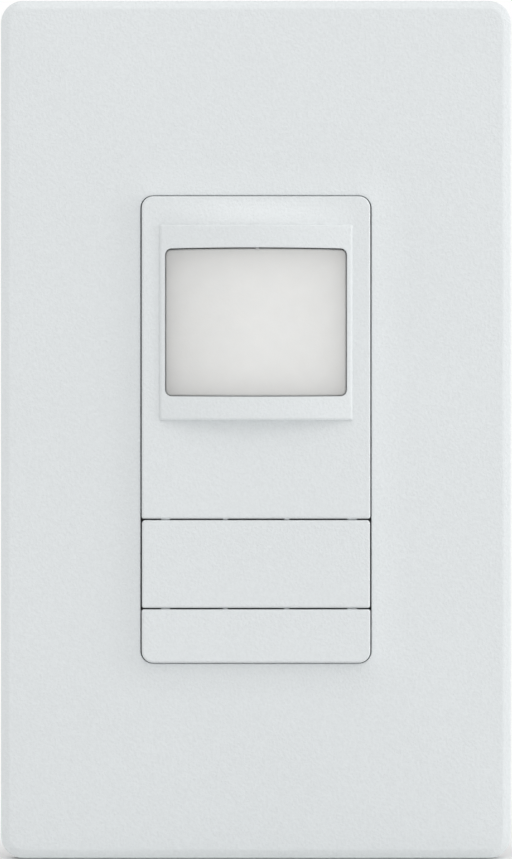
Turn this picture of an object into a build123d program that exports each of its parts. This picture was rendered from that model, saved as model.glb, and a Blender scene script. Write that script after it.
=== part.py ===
from build123d import *
import os

# Photocell wall switch for a single wall box: a rectangular device with a lensed
# sensor head and two push keys, on a steel strap, behind a snap-on wall plate.
# Millimetres. X points right, Y into the wall, Z up. The origin lies on the wall
# surface, behind the middle of the plate.

# Clearances
SIDE_GAP = 0.2          # device face to the sides of the plate's opening
END_GAP = 0.15          # device face to the ends of the plate's opening
KEY_GAP = 0.22          # between the fixed face, the large key and the small key
KEY_SIDE_INSET = 0.04   # large key narrower than the face, each side
SNAP_PLAY = 0.1         # between mouldings that clip together
SLIDE_PLAY = 0.15       # round anything that slides
THREAD_PLAY = 0.03      # screw thread in its tapped hole
HOLE_PLAY = 0.2         # round a shank, a pin or a lug
FIT_PLAY = 0.35         # tower in the strap's window, boards in the housing
SMALL_CORNER = 0.8      # corners of washers, boards and the lens frame
CUT_OVER = 1.0          # how far a cutting solid runs past what it cuts

# Wall plate
PLATE_WIDTH = 72.8
PLATE_END_MARGIN = 8.1   # plate beyond the strap's ends
PLATE_DEPTH = 7.0
PLATE_WALL = 2.0
PLATE_SKIN = 2.2
PLATE_CORNER = 3.2
BEVEL_WIDTH = 1.15
BEVEL_DEPTH = 0.5
BEVEL_EDGE = 0.15
OPENING_WIDTH = 33.0
OPENING_HEIGHT = 66.85
OPENING_CORNER = 1.85
COLLAR_WALL = 1.2
COLLAR_DEPTH = 1.4
BEAD_REACH = 0.9
BEAD_LENGTH = 12.0
BEAD_HEIGHT = 1.5
BEAD_OFFSET = 28.0      # of each snap bead above and below the middle
PRY_SLOT_WIDTH = 8.0
PRY_SLOT_DEPTH = 1.0

# Subframe that the plate clips to
FRAME_WEB = 1.3
FRAME_RIB = 1.2
FRAME_MARGIN = 1.2      # subframe's edge to the inside of the plate's walls
FRAME_RIM_LIFT = 0.3    # subframe's rim clear of the wall
FRAME_OPENING_MARGIN = 0.3
FRAME_BOSS_RADIUS = 3.0
TAB_LENGTH = 11.0
TAB_PLAY = 0.2
RELIEF = 0.2            # plate's skin to the subframe's web

# Strap and its screws
STRAP_THICKNESS = 1.3
STRAP_LIFT = 0.05        # strap clear of the wall surface, so that the plate's rim bears
STRAP_SIDE_MARGIN = 0.65 # strap beyond the housing's sides
STRAP_END_MARGIN = 1.7   # strap's wide middle beyond the housing's ends
EAR_MARGIN = 4.68        # ear beyond the axis of the plate's screw
STRAP_NECK = 31.0
EAR_WIDTH = 42.0
EAR_HEIGHT = 13.0
STRAP_CORNER = 3.0
BOX_SCREW_MARGIN = 8.045 # beyond the strap's window: gives the usual 83.34 mm spacing
SCREW_STEP = 6.75        # from box screw to plate screw: gives the usual 96.84 mm
SCREW_RADIUS = 1.753    # number 6 screw, 32 threads to the inch
SCREW_NECK = 1.4
BOX_SCREW_LENGTH = 25.0
BOX_SCREW_HEAD_RADIUS = 3.3
BOX_SCREW_HEAD_HEIGHT = 1.8
EAR_SLOT_LENGTH = 6.8
EAR_SLOT_WIDTH = 3.9
RETAINER_SIZE = 8.5
RETAINER_THICKNESS = 0.8
FRAME_SCREW_LENGTH = 6.5
FRAME_SCREW_HEAD_RADIUS = 3.2
SCORE_LENGTH = 2.2       # slits at which an ear's end can be broken off
SCORE_WIDTH = 0.6
SCORE_PITCH = 3.6
LUG_CORNER = 1.5

# Device face, hood and keys
FACE_PROUD = 1.4
FACE_SKIN = 1.8
FACE_WALL = 1.4
MAIN_KEY_HEIGHT = 12.51
LOWER_KEY_HEIGHT = 7.625
EDGE_BREAK = 0.2
FACE_LOWER_CORNER = 0.3
KEY_TOP_CORNER = 0.5
NUB_HEIGHT = 0.15
NUB_SETBACK = 0.3
NUB_LEFT = 12.9          # outer nubs left and right of the middle, and their widths
NUB_LEFT_WIDTH = 1.3
NUB_RIGHT = 13.7
NUB_RIGHT_WIDTH = 1.4
NUB_INNER = 4.4
NUB_INNER_WIDTH = 0.72
HOOD_SIDE_BORDER = 0.955 # hood beyond the lens
HOOD_END_BORDER = 3.558
HOOD_SIDE_PROUD = 0.35
HOOD_CROWN = 1.4
HOOD_EDGE = 0.25

# Lens and its retaining frame
LENS_SIDE_MARGIN = 3.48  # lens to the face's sides
LENS_DROP = 7.615        # lens below the face's top
LENS_HEIGHT = 20.784
LENS_TOP_ARCH = 0.15
LENS_BOTTOM_ARCH = 0.06
LENS_CORNER = 0.8
LENS_GAP = 0.12
LENS_SETBACK = 0.15
LENS_SHELL = 0.8
LENS_EDGE = 0.3
LENS_FLANGE = 0.7
LENS_FLANGE_REACH = 0.68
LENSLET_COLUMNS = 4
LENSLET_ROWS = 2
LENSLET_RADIUS = 12.0
LENSLET_HEIGHT = 0.2
FRAME_RING_SIDE = 1.31   # lens frame beyond the lens
FRAME_RING_END = 2.675
FRAME_RING_THICKNESS = 1.2
PEG_SIZE = 1.2
PEG_OFFSET = 10.0
PEG_CAP = 0.4
PEG_CAP_SIZE = 1.9

# Chassis tower and flange
TOWER_WALL = 1.6
TOWER_TOP = 3.6         # tower's front in front of the wall surface
DECK_THICKNESS = 1.6
FLANGE_THICKNESS = 2.0
LATCH_WIDTH = 3.0
LATCH_THICKNESS = 1.2
LATCH_NOSE = 0.6
LATCH_NOSE_HEIGHT = 1.0
LATCH_DEPTH = 0.7       # front of the wall surface where a latch ends
UPPER_LATCH_Z = 29.9
LOWER_LATCH_Z = -5.0

# Keys' travel and guides
KEY_TRAVEL = 0.8
KEY_SKIN = 1.6
KEY_SKIRT_WALL = 1.2
KEY_SKIRT_CLEARANCE = 0.4
POST_RADIUS = 1.7
HOOK_OFFSET = 11.0
HOOK_THICKNESS = 1.2
HOOK_NOSE = 0.8
HOOK_HEIGHT = 1.1
HOOK_FLEX = 0.9         # room for a hook to bend while it is pushed in
MAIN_HOOK_WIDTH = 4.0
LOWER_HOOK_WIDTH = 2.6
STIFFENER = 0.9

# Rear housing
HOUSING_SIDE_MARGIN = 4.7 # housing beyond the strap's window
HOUSING_END_MARGIN = 1.175
HOUSING_WALL = 1.8
HOUSING_CORNER = 3.0
HOUSING_EDGE = 1.0
BOSS_RADIUS = 2.6
BOSS_SIDE_INSET = 2.75   # axis of a boss inside the housing's edge
BOSS_END_INSET = 3.8
HOUSING_SCREW_RADIUS = 1.25
HOUSING_SCREW_HEAD = 1.85
COUNTERBORE_DEPTH = 2.2
GRIP_RIB = 1.25
GRIP_RIB_WIDTH = 1.6
GRIP_RIB_Z = 24.0
GAUGE_LENGTH = 14.0
GAUGE_WIDTH = 3.0
GAUGE_DEPTH = 0.6

# Circuit boards
FRONT_BOARD_THICKNESS = 1.2
POWER_BOARD_THICKNESS = 1.6
BOARD_SIDE_PLAY = 0.3    # power board to the ribs at its sides
BOARD_END_PLAY = 0.7

# Terminals
POCKET_REACH = 5.15      # floor of a terminal pocket inside the housing's side
POCKET_FRONT_WALL = 2.0
POCKET_LENGTH = 11.0
POCKET_DEPTH = 11.0
POCKET_WALL = 1.6
PLATE_STOCK = 1.0
CLAMP_STOCK = 1.0
CLAMP_SIZE = 8.0
BINDING_HEAD_RADIUS = 3.4
BINDING_HEAD_HEIGHT = 2.0
BINDING_TIP = 1.2
TERMINAL_WIDTH = 9.0
TERMINAL_DEPTH = 9.4
LUG_WIDTH = 4.0
LUG_TAIL = 0.4
WIRE_HOLE_RADIUS = 1.25
WIRE_HOLE_OFFSET = 3.2
TERMINAL_UPPER_Z = 14.0
TERMINAL_LOWER_Z = -3.0
GROUND_Z = -20.5
GROUND_LUG_WIDTH = 9.0
GROUND_SCREW_DEPTH = 5.4

# Sensing and switching parts on the front board
PIR_FLANGE_RADIUS = 4.6
PIR_CAN_RADIUS = 4.15
PIR_FLANGE = 0.6
PIR_HEIGHT = 4.2
PIR_EDGE = 0.3
PIR_LEAD_OFFSET = 2.5
PIR_WINDOW_WIDTH = 4.0
PIR_WINDOW_HEIGHT = 3.0
PIR_WINDOW_THICKNESS = 0.5
LEAD_WIDTH = 0.5
LEAD_LENGTH = 2.2
LEAD_OFFSET = 1.0       # of each lead of a two-lead part from its middle
PHOTOCELL_OFFSET = 8.6
PHOTOCELL_RADIUS = 2.4
PHOTOCELL_FLATS = 4.2
PHOTOCELL_HEIGHT = 2.0
SHROUD_WALL = 0.8
SHROUD_HEIGHT = 4.6
LED_RADIUS = 1.5
LED_HEIGHT = 4.4
LED_RIM = 0.3
LED_RIM_HEIGHT = 0.8
SWITCH_SIZE = 6.0
SWITCH_HEIGHT = 3.4
SWITCH_LEG_OFFSET = 2.0
SWITCH_LEG_WIDTH = 0.7
SWITCH_LEG_STOCK = 0.5
SWITCH_LEG_TAIL = 0.5
WELL_SPARE = 1.0        # depth of a switch's well behind its plunger
PLUNGER_LIFT = 0.9
PLUNGER_DEPTH = 1.5
CHIP_SIZE = 9.0
CHIP_WIDTH = 7.0
CHIP_HEIGHT = 1.4
CHIP_LEADS = 8
CHIP_LEAD_PITCH = 0.8
CHIP_LEAD_WIDTH = 0.36
CHIP_LEAD_STOCK = 0.3
CHIP_LEAD_REACH = 1.2
CHIP_LIFT = 0.15
CHIP_DROP = 10.0        # of the chip below the detector
PIN_COUNT = 8
PIN_PITCH = 2.54
PIN_SIZE = 0.64
HEADER_Z = -12.0
HEADER_WIDTH = 2.5
SOCKET_HEIGHT = 6.5
SOCKET_FLOOR = 1.0
PIN_END_PLAY = 1.0       # pin's tip to the floor of its socket
PIN_BASE_HEIGHT = 2.5
PIN_TAIL = 1.0

# Power parts behind the power board
RELAY_SIZE = (15.5, 15.0, 19.0)
RELAY_PLACE = (-4.5, 20.0)
RELAY_EDGE = 0.8
RELAY_PLAY = 0.6         # relay to the back of the housing
FILM_CAPACITOR_SIZE = (5.0, 11.0, 13.0)
FILM_CAPACITOR_PLACE = (6.4, 21.0)
CASE_CHAMFER = 0.4
RESERVOIR_RADIUS = 4.0
RESERVOIR_LENGTH = 12.0
RESERVOIR_INSET = 9.0    # from the board's right edge
RESERVOIR_Z = 5.0
VARISTOR_RADIUS = 4.5
VARISTOR_THICKNESS = 3.6
VARISTOR_PLACE = (11.6, 26.4)
VARISTOR_LIFT = 1.0
VARISTOR_LEAD_OFFSET = 2.5
VARISTOR_LEAD_WIDTH = 0.8
CORE_SIZE = (13.0, 10.5, 10.0)
CORE_PLACE = (-5.0, 0.0)
CORE_YOKE = 2.6
CORE_OUTER_LIMB = 1.95
CORE_MIDDLE_LIMB = 3.9
COIL_BUILD = 2.0
COIL_CORNER = 1.6
FUSE_RADIUS = 2.2
FUSE_LENGTH = 10.0
FUSE_INSET = 8.5         # from the board's right edge
FUSE_Z = -19.0
FUSE_CAP_LENGTH = 2.2
FUSE_CAP_STOCK = 0.3
RECTIFIER_SIZE = (8.4, 3.2, 6.4)
RECTIFIER_PLACE = (-5.0, -20.0)
RECTIFIER_LEG = (0.8, 1.6, 1.0)
RECTIFIER_LEG_OFFSET = 2.0

# Places that follow from the sizes above: the face and the strap
FACE_WIDTH = OPENING_WIDTH - 2 * SIDE_GAP
FACE_HEIGHT = OPENING_HEIGHT - 2 * END_GAP
FACE_CORNER = OPENING_CORNER - SIDE_GAP
WINDOW_WIDTH = FACE_WIDTH + 2 * FIT_PLAY
WINDOW_HEIGHT = FACE_HEIGHT + 2 * FIT_PLAY
HOUSING_WIDTH = WINDOW_WIDTH + 2 * HOUSING_SIDE_MARGIN
HOUSING_HEIGHT = WINDOW_HEIGHT + 2 * HOUSING_END_MARGIN
BOX_SCREW_SPACING = WINDOW_HEIGHT + 2 * BOX_SCREW_MARGIN
PLATE_SCREW_SPACING = BOX_SCREW_SPACING + 2 * SCREW_STEP
STRAP_WIDTH = HOUSING_WIDTH + 2 * STRAP_SIDE_MARGIN
STRAP_MIDDLE_HEIGHT = HOUSING_HEIGHT + 2 * STRAP_END_MARGIN
STRAP_LENGTH = PLATE_SCREW_SPACING + 2 * EAR_MARGIN
PLATE_HEIGHT = STRAP_LENGTH + 2 * PLATE_END_MARGIN
STRAP_BACK = -STRAP_LIFT
STRAP_FRONT = STRAP_BACK - STRAP_THICKNESS

# The front, from the plate's face inwards
PLATE_FRONT = -PLATE_DEPTH
PLATE_INSIDE = PLATE_FRONT + PLATE_SKIN
FACE_FRONT = PLATE_FRONT - FACE_PROUD
FACE_BACK = FACE_FRONT + FACE_SKIN
KEY_BACK = FACE_FRONT + KEY_SKIN
TOWER_FRONT = -TOWER_TOP
DECK_BACK = TOWER_FRONT + DECK_THICKNESS
FRAME_FRONT = PLATE_INSIDE + RELIEF
FRAME_BACK = FRAME_FRONT + FRAME_WEB
FRAME_HALF_WIDTH = PLATE_WIDTH / 2 - PLATE_WALL - FRAME_MARGIN
FRAME_HALF_HEIGHT = PLATE_HEIGHT / 2 - PLATE_WALL - FRAME_MARGIN
FRAME_OPENING_WIDTH = OPENING_WIDTH + 2 * (COLLAR_WALL + FRAME_OPENING_MARGIN)
FRAME_OPENING_HEIGHT = OPENING_HEIGHT + 2 * (COLLAR_WALL + FRAME_OPENING_MARGIN)

# The face, the keys and the tower behind them, from the top down
FACE_TOP_Z = FACE_HEIGHT / 2
LOWER_KEY_BOTTOM = -FACE_TOP_Z
LOWER_KEY_TOP = LOWER_KEY_BOTTOM + LOWER_KEY_HEIGHT
MAIN_KEY_BOTTOM = LOWER_KEY_TOP + KEY_GAP
MAIN_KEY_TOP = MAIN_KEY_BOTTOM + MAIN_KEY_HEIGHT
FIXED_FACE_BOTTOM = MAIN_KEY_TOP + KEY_GAP
TOWER_INNER_TOP = FACE_TOP_Z - TOWER_WALL
TOWER_INNER_HALF = FACE_WIDTH / 2 - TOWER_WALL
CROSS_WALL_BOTTOM = FIXED_FACE_BOTTOM
CROSS_WALL_TOP = CROSS_WALL_BOTTOM + TOWER_WALL
MAIN_KEY_Z = (MAIN_KEY_TOP + MAIN_KEY_BOTTOM) / 2
LOWER_KEY_Z = (LOWER_KEY_TOP + LOWER_KEY_BOTTOM) / 2
MAIN_POST_Z = MAIN_KEY_Z
LOWER_POST_Z = -TOWER_INNER_TOP + SWITCH_SIZE / 2 + HOLE_PLAY
NUBS = [
    (-NUB_LEFT, NUB_LEFT_WIDTH),
    (-NUB_INNER, NUB_INNER_WIDTH),
    (NUB_INNER, NUB_INNER_WIDTH),
    (NUB_RIGHT, NUB_RIGHT_WIDTH),
]

# The lens in the hood
LENS_WIDTH = FACE_WIDTH - 2 * LENS_SIDE_MARGIN
LENS_TOP = FACE_TOP_Z - LENS_DROP
LENS_BOTTOM = LENS_TOP - LENS_HEIGHT
LENS_MIDDLE_Z = (LENS_TOP + LENS_BOTTOM) / 2
HOOD_WIDTH = LENS_WIDTH + 2 * HOOD_SIDE_BORDER
HOOD_HEIGHT = LENS_HEIGHT + 2 * HOOD_END_BORDER
HOOD_RADIUS = ((HOOD_WIDTH / 2) ** 2 + HOOD_CROWN**2) / (2 * HOOD_CROWN)
HOOD_FRONT = FACE_FRONT - HOOD_SIDE_PROUD - HOOD_CROWN
LENS_FRONT = HOOD_FRONT + LENS_SETBACK
FRAME_RING_WIDTH = LENS_WIDTH + 2 * FRAME_RING_SIDE
FRAME_RING_HEIGHT = LENS_HEIGHT + 2 * FRAME_RING_END
RING_FRONT = FACE_BACK + LENS_FLANGE
RING_BACK = RING_FRONT + FRAME_RING_THICKNESS

# The boards, the housing and the terminals behind the wall surface
FRONT_BOARD = FLANGE_THICKNESS
FRONT_BOARD_BACK = FRONT_BOARD + FRONT_BOARD_THICKNESS
PIR_TOP = FRONT_BOARD - PIR_HEIGHT
SWITCH_TOP = FRONT_BOARD - SWITCH_HEIGHT
PLUNGER_TOP = SWITCH_TOP - PLUNGER_LIFT
CHIP_Z = LENS_MIDDLE_Z - CHIP_DROP
POWER_BOARD = FRONT_BOARD_BACK + SOCKET_HEIGHT + HOLE_PLAY + PIN_BASE_HEIGHT
POWER_BOARD_BACK = POWER_BOARD + POWER_BOARD_THICKNESS
POWER_BOARD_WIDTH = HOUSING_WIDTH - 2 * (HOUSING_WALL + GRIP_RIB + BOARD_SIDE_PLAY)
POWER_BOARD_HEIGHT = HOUSING_HEIGHT - 2 * (HOUSING_WALL + BOARD_END_PLAY)
RESERVOIR_PLACE = (POWER_BOARD_WIDTH / 2 - RESERVOIR_INSET, RESERVOIR_Z)
FUSE_PLACE = (POWER_BOARD_WIDTH / 2 - FUSE_INSET, FUSE_Z)
HOUSING_INSIDE_BACK = POWER_BOARD_BACK + RELAY_SIZE[1] + RELAY_PLAY
HOUSING_BACK = HOUSING_INSIDE_BACK + HOUSING_WALL
BOSS_X = HOUSING_WIDTH / 2 - BOSS_SIDE_INSET
BOSS_Z = HOUSING_HEIGHT / 2 - BOSS_END_INSET
BOSSES = [(x, z) for x in (-BOSS_X, BOSS_X) for z in (-BOSS_Z, BOSS_Z)]
GRIP_RIBS = [(1, GRIP_RIB_Z), (1, -GRIP_RIB_Z), (-1, GRIP_RIB_Z)]
POCKET_FLOOR = HOUSING_WIDTH / 2 - POCKET_REACH
POCKET_FRONT = POWER_BOARD_BACK + POCKET_FRONT_WALL
POCKET_BACK = POCKET_FRONT + POCKET_DEPTH
BINDING_Y = POCKET_FRONT + POCKET_DEPTH / 2
TERMINALS = {
    "line": (1, TERMINAL_UPPER_Z),
    "load": (1, TERMINAL_LOWER_Z),
    "neutral": (-1, TERMINAL_UPPER_Z),
}
GROUND_PLANE = -WINDOW_WIDTH / 2
GROUND_FLOOR = GROUND_PLANE + SNAP_PLAY
GROUND_BACK = POWER_BOARD - HOLE_PLAY - POCKET_WALL
CORE_WINDOW = (CORE_SIZE[0] - CORE_MIDDLE_LIMB) / 2 - CORE_OUTER_LIMB

# Turns that lay an upright solid square to the wall
INTO_WALL = Rot(-90, 0, 0)
OUT_OF_WALL = Rot(90, 0, 0)


def prism(outline, y_from, y_to):
    """A solid from an outline seen from the front, between two depths."""
    return extrude(Plane.XZ.offset(-y_to) * outline, amount=y_to - y_from)


def side_prism(outline, x_from, x_to):
    """A solid from an outline seen from the side, in depth and height."""
    return extrude(Plane.YZ.offset(x_from) * outline, amount=x_to - x_from)


def brick(x_from, x_to, y_from, y_to, z_from, z_to):
    """A plain block between six planes."""
    middle = Pos((x_from + x_to) / 2, (y_from + y_to) / 2, (z_from + z_to) / 2)
    return middle * Box(abs(x_to - x_from), abs(y_to - y_from), abs(z_to - z_from))


def rod(x, z, radius, y_from, y_to):
    """A round bar square to the wall."""
    return prism(Pos(x, z) * Circle(radius), y_from, y_to)


def ring(width, height, corner, wall, y_from, y_to):
    """A rectangular ring of even wall."""
    outer = RectangleRounded(width, height, corner)
    inner_corner = max(corner - wall, 0.2 * wall)
    inner = RectangleRounded(width - 2 * wall, height - 2 * wall, inner_corner)
    return prism(outer - inner, y_from, y_to)


def turned(points):
    """A solid of revolution about Z from radius and height pairs."""
    return revolve(Plane.XZ * make_face(Polyline(*points, close=True)), Axis.Z)


def crowned(width, crown_front, back):
    """A tall block whose front is an arc across its width, highest in the middle."""
    half = width / 2
    radius = HOOD_RADIUS + HOOD_FRONT - crown_front
    edge = crown_front + radius - (radius**2 - half**2) ** 0.5
    arc = ThreePointArc((-half, edge), (0, crown_front), (half, edge))
    sides = Polyline((half, edge), (half, back), (-half, back), (-half, edge))
    profile = make_face([arc, sides])
    return extrude(Plane.XY.offset(-FACE_HEIGHT) * profile, amount=2 * FACE_HEIGHT)


def lens_outline():
    """The lens seen from the front: straight sides, top and bottom slightly arched."""
    half = LENS_WIDTH / 2
    top = ThreePointArc((-half, LENS_TOP), (0, LENS_TOP + LENS_TOP_ARCH), (half, LENS_TOP))
    low = ThreePointArc(
        (half, LENS_BOTTOM), (0, LENS_BOTTOM - LENS_BOTTOM_ARCH), (-half, LENS_BOTTOM)
    )
    right = Line((half, LENS_TOP), (half, LENS_BOTTOM))
    left = Line((-half, LENS_BOTTOM), (-half, LENS_TOP))
    face = make_face([top, right, low, left])
    return fillet(face.vertices(), LENS_CORNER)


def screw(head_radius, head_height, thread_radius, length, neck_length=0, neck_radius=0):
    """A cheese head screw on Z: head below zero, shank above, with a plain neck if asked."""
    points = [(0, -head_height), (head_radius, -head_height), (head_radius, 0)]
    if neck_length:
        points += [(neck_radius, 0), (neck_radius, neck_length)]
    points += [(thread_radius, neck_length), (thread_radius, length), (0, length)]
    return turned(points)


def binding_screw(side, y, z, bearing, length):
    """A terminal screw whose axis runs across the device, head outwards."""
    turn = Rot(0, -90 * side, 0)
    shape = screw(BINDING_HEAD_RADIUS, BINDING_HEAD_HEIGHT, SCREW_RADIUS, length)
    return Pos(side * bearing, y, z) * turn * shape


def wall_plate():
    """The snap-on cover: a shell with a bevelled front, a collar and four snap beads."""
    body = prism(
        RectangleRounded(PLATE_WIDTH, PLATE_HEIGHT, PLATE_CORNER), PLATE_FRONT + BEVEL_DEPTH, 0
    )
    base = Plane.XZ.offset(PLATE_DEPTH - BEVEL_DEPTH) * RectangleRounded(
        PLATE_WIDTH - 2 * BEVEL_EDGE, PLATE_HEIGHT - 2 * BEVEL_EDGE, PLATE_CORNER - BEVEL_EDGE
    )
    front = Plane.XZ.offset(PLATE_DEPTH) * RectangleRounded(
        PLATE_WIDTH - 2 * BEVEL_WIDTH, PLATE_HEIGHT - 2 * BEVEL_WIDTH, PLATE_CORNER - BEVEL_WIDTH
    )
    body += loft([base.face(), front.face()], ruled=True)
    body -= prism(
        RectangleRounded(
            PLATE_WIDTH - 2 * PLATE_WALL, PLATE_HEIGHT - 2 * PLATE_WALL, PLATE_CORNER - PLATE_WALL
        ),
        PLATE_INSIDE,
        0,
    )
    body += ring(
        OPENING_WIDTH + 2 * COLLAR_WALL,
        OPENING_HEIGHT + 2 * COLLAR_WALL,
        OPENING_CORNER + COLLAR_WALL,
        COLLAR_WALL,
        PLATE_INSIDE,
        PLATE_INSIDE + COLLAR_DEPTH,
    )
    body -= prism(
        RectangleRounded(OPENING_WIDTH, OPENING_HEIGHT, OPENING_CORNER),
        PLATE_FRONT,
        PLATE_INSIDE + COLLAR_DEPTH,
    )
    inner = PLATE_WIDTH / 2 - PLATE_WALL
    tip = inner - BEAD_REACH
    top = FRAME_BACK + SNAP_PLAY
    for z in (-BEAD_OFFSET, BEAD_OFFSET):
        bead_profile = make_face(
            Polyline(
                (inner, top),
                (tip, top),
                (tip, top + BEAD_HEIGHT / 3),
                (inner, top + BEAD_HEIGHT),
                close=True,
            )
        )
        bead = extrude(Plane.XY.offset(z - BEAD_LENGTH / 2) * bead_profile, amount=BEAD_LENGTH)
        body += bead
        body += mirror(bead, Plane.YZ)
    body -= brick(
        -PRY_SLOT_WIDTH / 2,
        PRY_SLOT_WIDTH / 2,
        -PRY_SLOT_DEPTH,
        0,
        -PLATE_HEIGHT / 2,
        -PLATE_HEIGHT / 2 + PLATE_WALL,
    )
    return body


def plate_subframe():
    """The frame screwed to the strap, with tabs behind which the plate's beads snap."""
    width = 2 * FRAME_HALF_WIDTH
    height = 2 * FRAME_HALF_HEIGHT
    web = RectangleRounded(width, height, PLATE_CORNER)
    tab_half = PLATE_WIDTH / 2 - PLATE_WALL - TAB_PLAY
    for z in (-BEAD_OFFSET, BEAD_OFFSET):
        web += Pos(0, z) * Rectangle(2 * tab_half, TAB_LENGTH)
    web -= RectangleRounded(FRAME_OPENING_WIDTH, FRAME_OPENING_HEIGHT, OPENING_CORNER)
    body = prism(web, FRAME_FRONT, FRAME_BACK)
    body += ring(width, height, PLATE_CORNER, FRAME_RIB, FRAME_BACK, -FRAME_RIM_LIFT)
    body += ring(
        FRAME_OPENING_WIDTH + 2 * FRAME_RIB,
        FRAME_OPENING_HEIGHT + 2 * FRAME_RIB,
        OPENING_CORNER,
        FRAME_RIB,
        FRAME_BACK,
        STRAP_FRONT,
    )
    opening_edge = FRAME_OPENING_WIDTH / 2 + FRAME_RIB
    for z in (-BEAD_OFFSET, BEAD_OFFSET):
        for side in (-1, 1):
            body += brick(
                side * opening_edge,
                side * (FRAME_HALF_WIDTH - FRAME_RIB),
                FRAME_BACK,
                STRAP_FRONT,
                z - FRAME_RIB / 2,
                z + FRAME_RIB / 2,
            )
    for z in (-PLATE_SCREW_SPACING / 2, PLATE_SCREW_SPACING / 2):
        body += rod(0, z, FRAME_BOSS_RADIUS, FRAME_BACK, STRAP_FRONT)
        body -= rod(0, z, SCREW_RADIUS + HOLE_PLAY, FRAME_FRONT, STRAP_FRONT)
        sink = turned(
            [
                (0, 0),
                (FRAME_SCREW_HEAD_RADIUS + SNAP_PLAY, 0),
                (SCREW_RADIUS + HOLE_PLAY, FRAME_WEB),
                (0, FRAME_WEB),
            ]
        )
        body -= Pos(0, FRAME_FRONT, z) * INTO_WALL * sink
    return body


def subframe_screws():
    """Two short countersunk screws that hold the subframe to the strap."""
    rise = FRAME_WEB - SNAP_PLAY
    shape = turned(
        [
            (0, SNAP_PLAY),
            (FRAME_SCREW_HEAD_RADIUS, SNAP_PLAY),
            (SCREW_RADIUS, rise),
            (SCREW_RADIUS, FRAME_SCREW_LENGTH),
            (0, FRAME_SCREW_LENGTH),
        ]
    )
    return Compound(
        [
            Pos(0, FRAME_FRONT, z) * INTO_WALL * shape
            for z in (-PLATE_SCREW_SPACING / 2, PLATE_SCREW_SPACING / 2)
        ]
    )


def mounting_strap():
    """The steel yoke: window, ears, slots, tapped holes and the bent grounding lug."""
    outline = RectangleRounded(STRAP_WIDTH, STRAP_MIDDLE_HEIGHT, STRAP_CORNER)
    outline += Rectangle(STRAP_NECK, STRAP_LENGTH - 2 * STRAP_CORNER)
    ear_z = STRAP_LENGTH / 2 - EAR_HEIGHT / 2
    for end in (-1, 1):
        outline += Pos(0, end * ear_z) * RectangleRounded(EAR_WIDTH, EAR_HEIGHT, STRAP_CORNER)
        outline -= Pos(0, end * BOX_SCREW_SPACING / 2) * SlotOverall(EAR_SLOT_LENGTH, EAR_SLOT_WIDTH)
        outline -= Pos(0, end * PLATE_SCREW_SPACING / 2) * Circle(SCREW_RADIUS + THREAD_PLAY)
        for side in (-1, 1):
            for step in (-1, 0, 1):
                score = Pos(side * STRAP_NECK / 2, end * ear_z + step * SCORE_PITCH)
                outline -= score * Rectangle(SCORE_WIDTH, SCORE_LENGTH)
    outline -= RectangleRounded(WINDOW_WIDTH, WINDOW_HEIGHT, OPENING_CORNER)
    for x, z in BOSSES:
        outline -= Pos(x, z) * Circle(HOUSING_SCREW_RADIUS + THREAD_PLAY)
    body = prism(outline, STRAP_FRONT, STRAP_BACK)
    lug_end = GROUND_BACK - SNAP_PLAY
    lug_middle = (STRAP_BACK + lug_end) / 2
    lug_outline = Pos(lug_middle, GROUND_Z) * Rectangle(lug_end - STRAP_BACK, GROUND_LUG_WIDTH)
    lug_outline = fillet(lug_outline.vertices().sort_by(Axis.X)[-2:], LUG_CORNER)
    lug = side_prism(lug_outline, GROUND_PLANE - STRAP_THICKNESS, GROUND_PLANE)
    lug -= side_prism(
        Pos(GROUND_SCREW_DEPTH, GROUND_Z) * Circle(SCREW_RADIUS + THREAD_PLAY),
        GROUND_PLANE - STRAP_THICKNESS,
        GROUND_PLANE,
    )
    return body + lug


def box_screws():
    """Two screws that fasten the strap to the wall box, with plain necks in the strap."""
    shape = screw(
        BOX_SCREW_HEAD_RADIUS,
        BOX_SCREW_HEAD_HEIGHT,
        SCREW_RADIUS,
        BOX_SCREW_LENGTH,
        STRAP_THICKNESS + RETAINER_THICKNESS + SNAP_PLAY,
        SCREW_NECK,
    )
    return Compound(
        [
            Pos(0, STRAP_FRONT, z) * INTO_WALL * shape
            for z in (-BOX_SCREW_SPACING / 2, BOX_SCREW_SPACING / 2)
        ]
    )


def screw_retainers():
    """Fibre washers behind the strap that keep the box screws from falling out."""
    outline = Rectangle(RETAINER_SIZE, RETAINER_SIZE) - Circle(SCREW_NECK + THREAD_PLAY)
    return Compound(
        [
            prism(Pos(0, z) * outline, STRAP_BACK, STRAP_BACK + RETAINER_THICKNESS)
            for z in (-BOX_SCREW_SPACING / 2, BOX_SCREW_SPACING / 2)
        ]
    )


def rounded_panel(width, bottom, top, lower_corner, upper_corner):
    """A panel outline with one radius on its lower corners and one on its upper ones."""
    panel = Pos(0, (bottom + top) / 2) * Rectangle(width, top - bottom)
    low = panel.vertices().sort_by(Axis.Y)[:2]
    panel = fillet(low, lower_corner)
    high = panel.vertices().sort_by(Axis.Y)[-2:]
    return fillet(high, upper_corner)


def latch(side, z):
    """A snap arm of the fixed face, inside the tower, with its nose outwards."""
    outer = TOWER_INNER_HALF - SNAP_PLAY
    end = -LATCH_DEPTH
    nose = end - LATCH_NOSE_HEIGHT
    profile = make_face(
        Polyline(
            (outer - LATCH_THICKNESS, FACE_BACK),
            (outer - LATCH_THICKNESS, end),
            (outer, end),
            (outer + LATCH_NOSE, nose + LATCH_NOSE_HEIGHT / 3),
            (outer + LATCH_NOSE, nose),
            (outer, nose),
            (outer, FACE_BACK),
            close=True,
        )
    )
    arm = extrude(Plane.XY.offset(z - LATCH_WIDTH / 2) * profile, amount=LATCH_WIDTH)
    return arm if side > 0 else mirror(arm, Plane.YZ)


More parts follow.
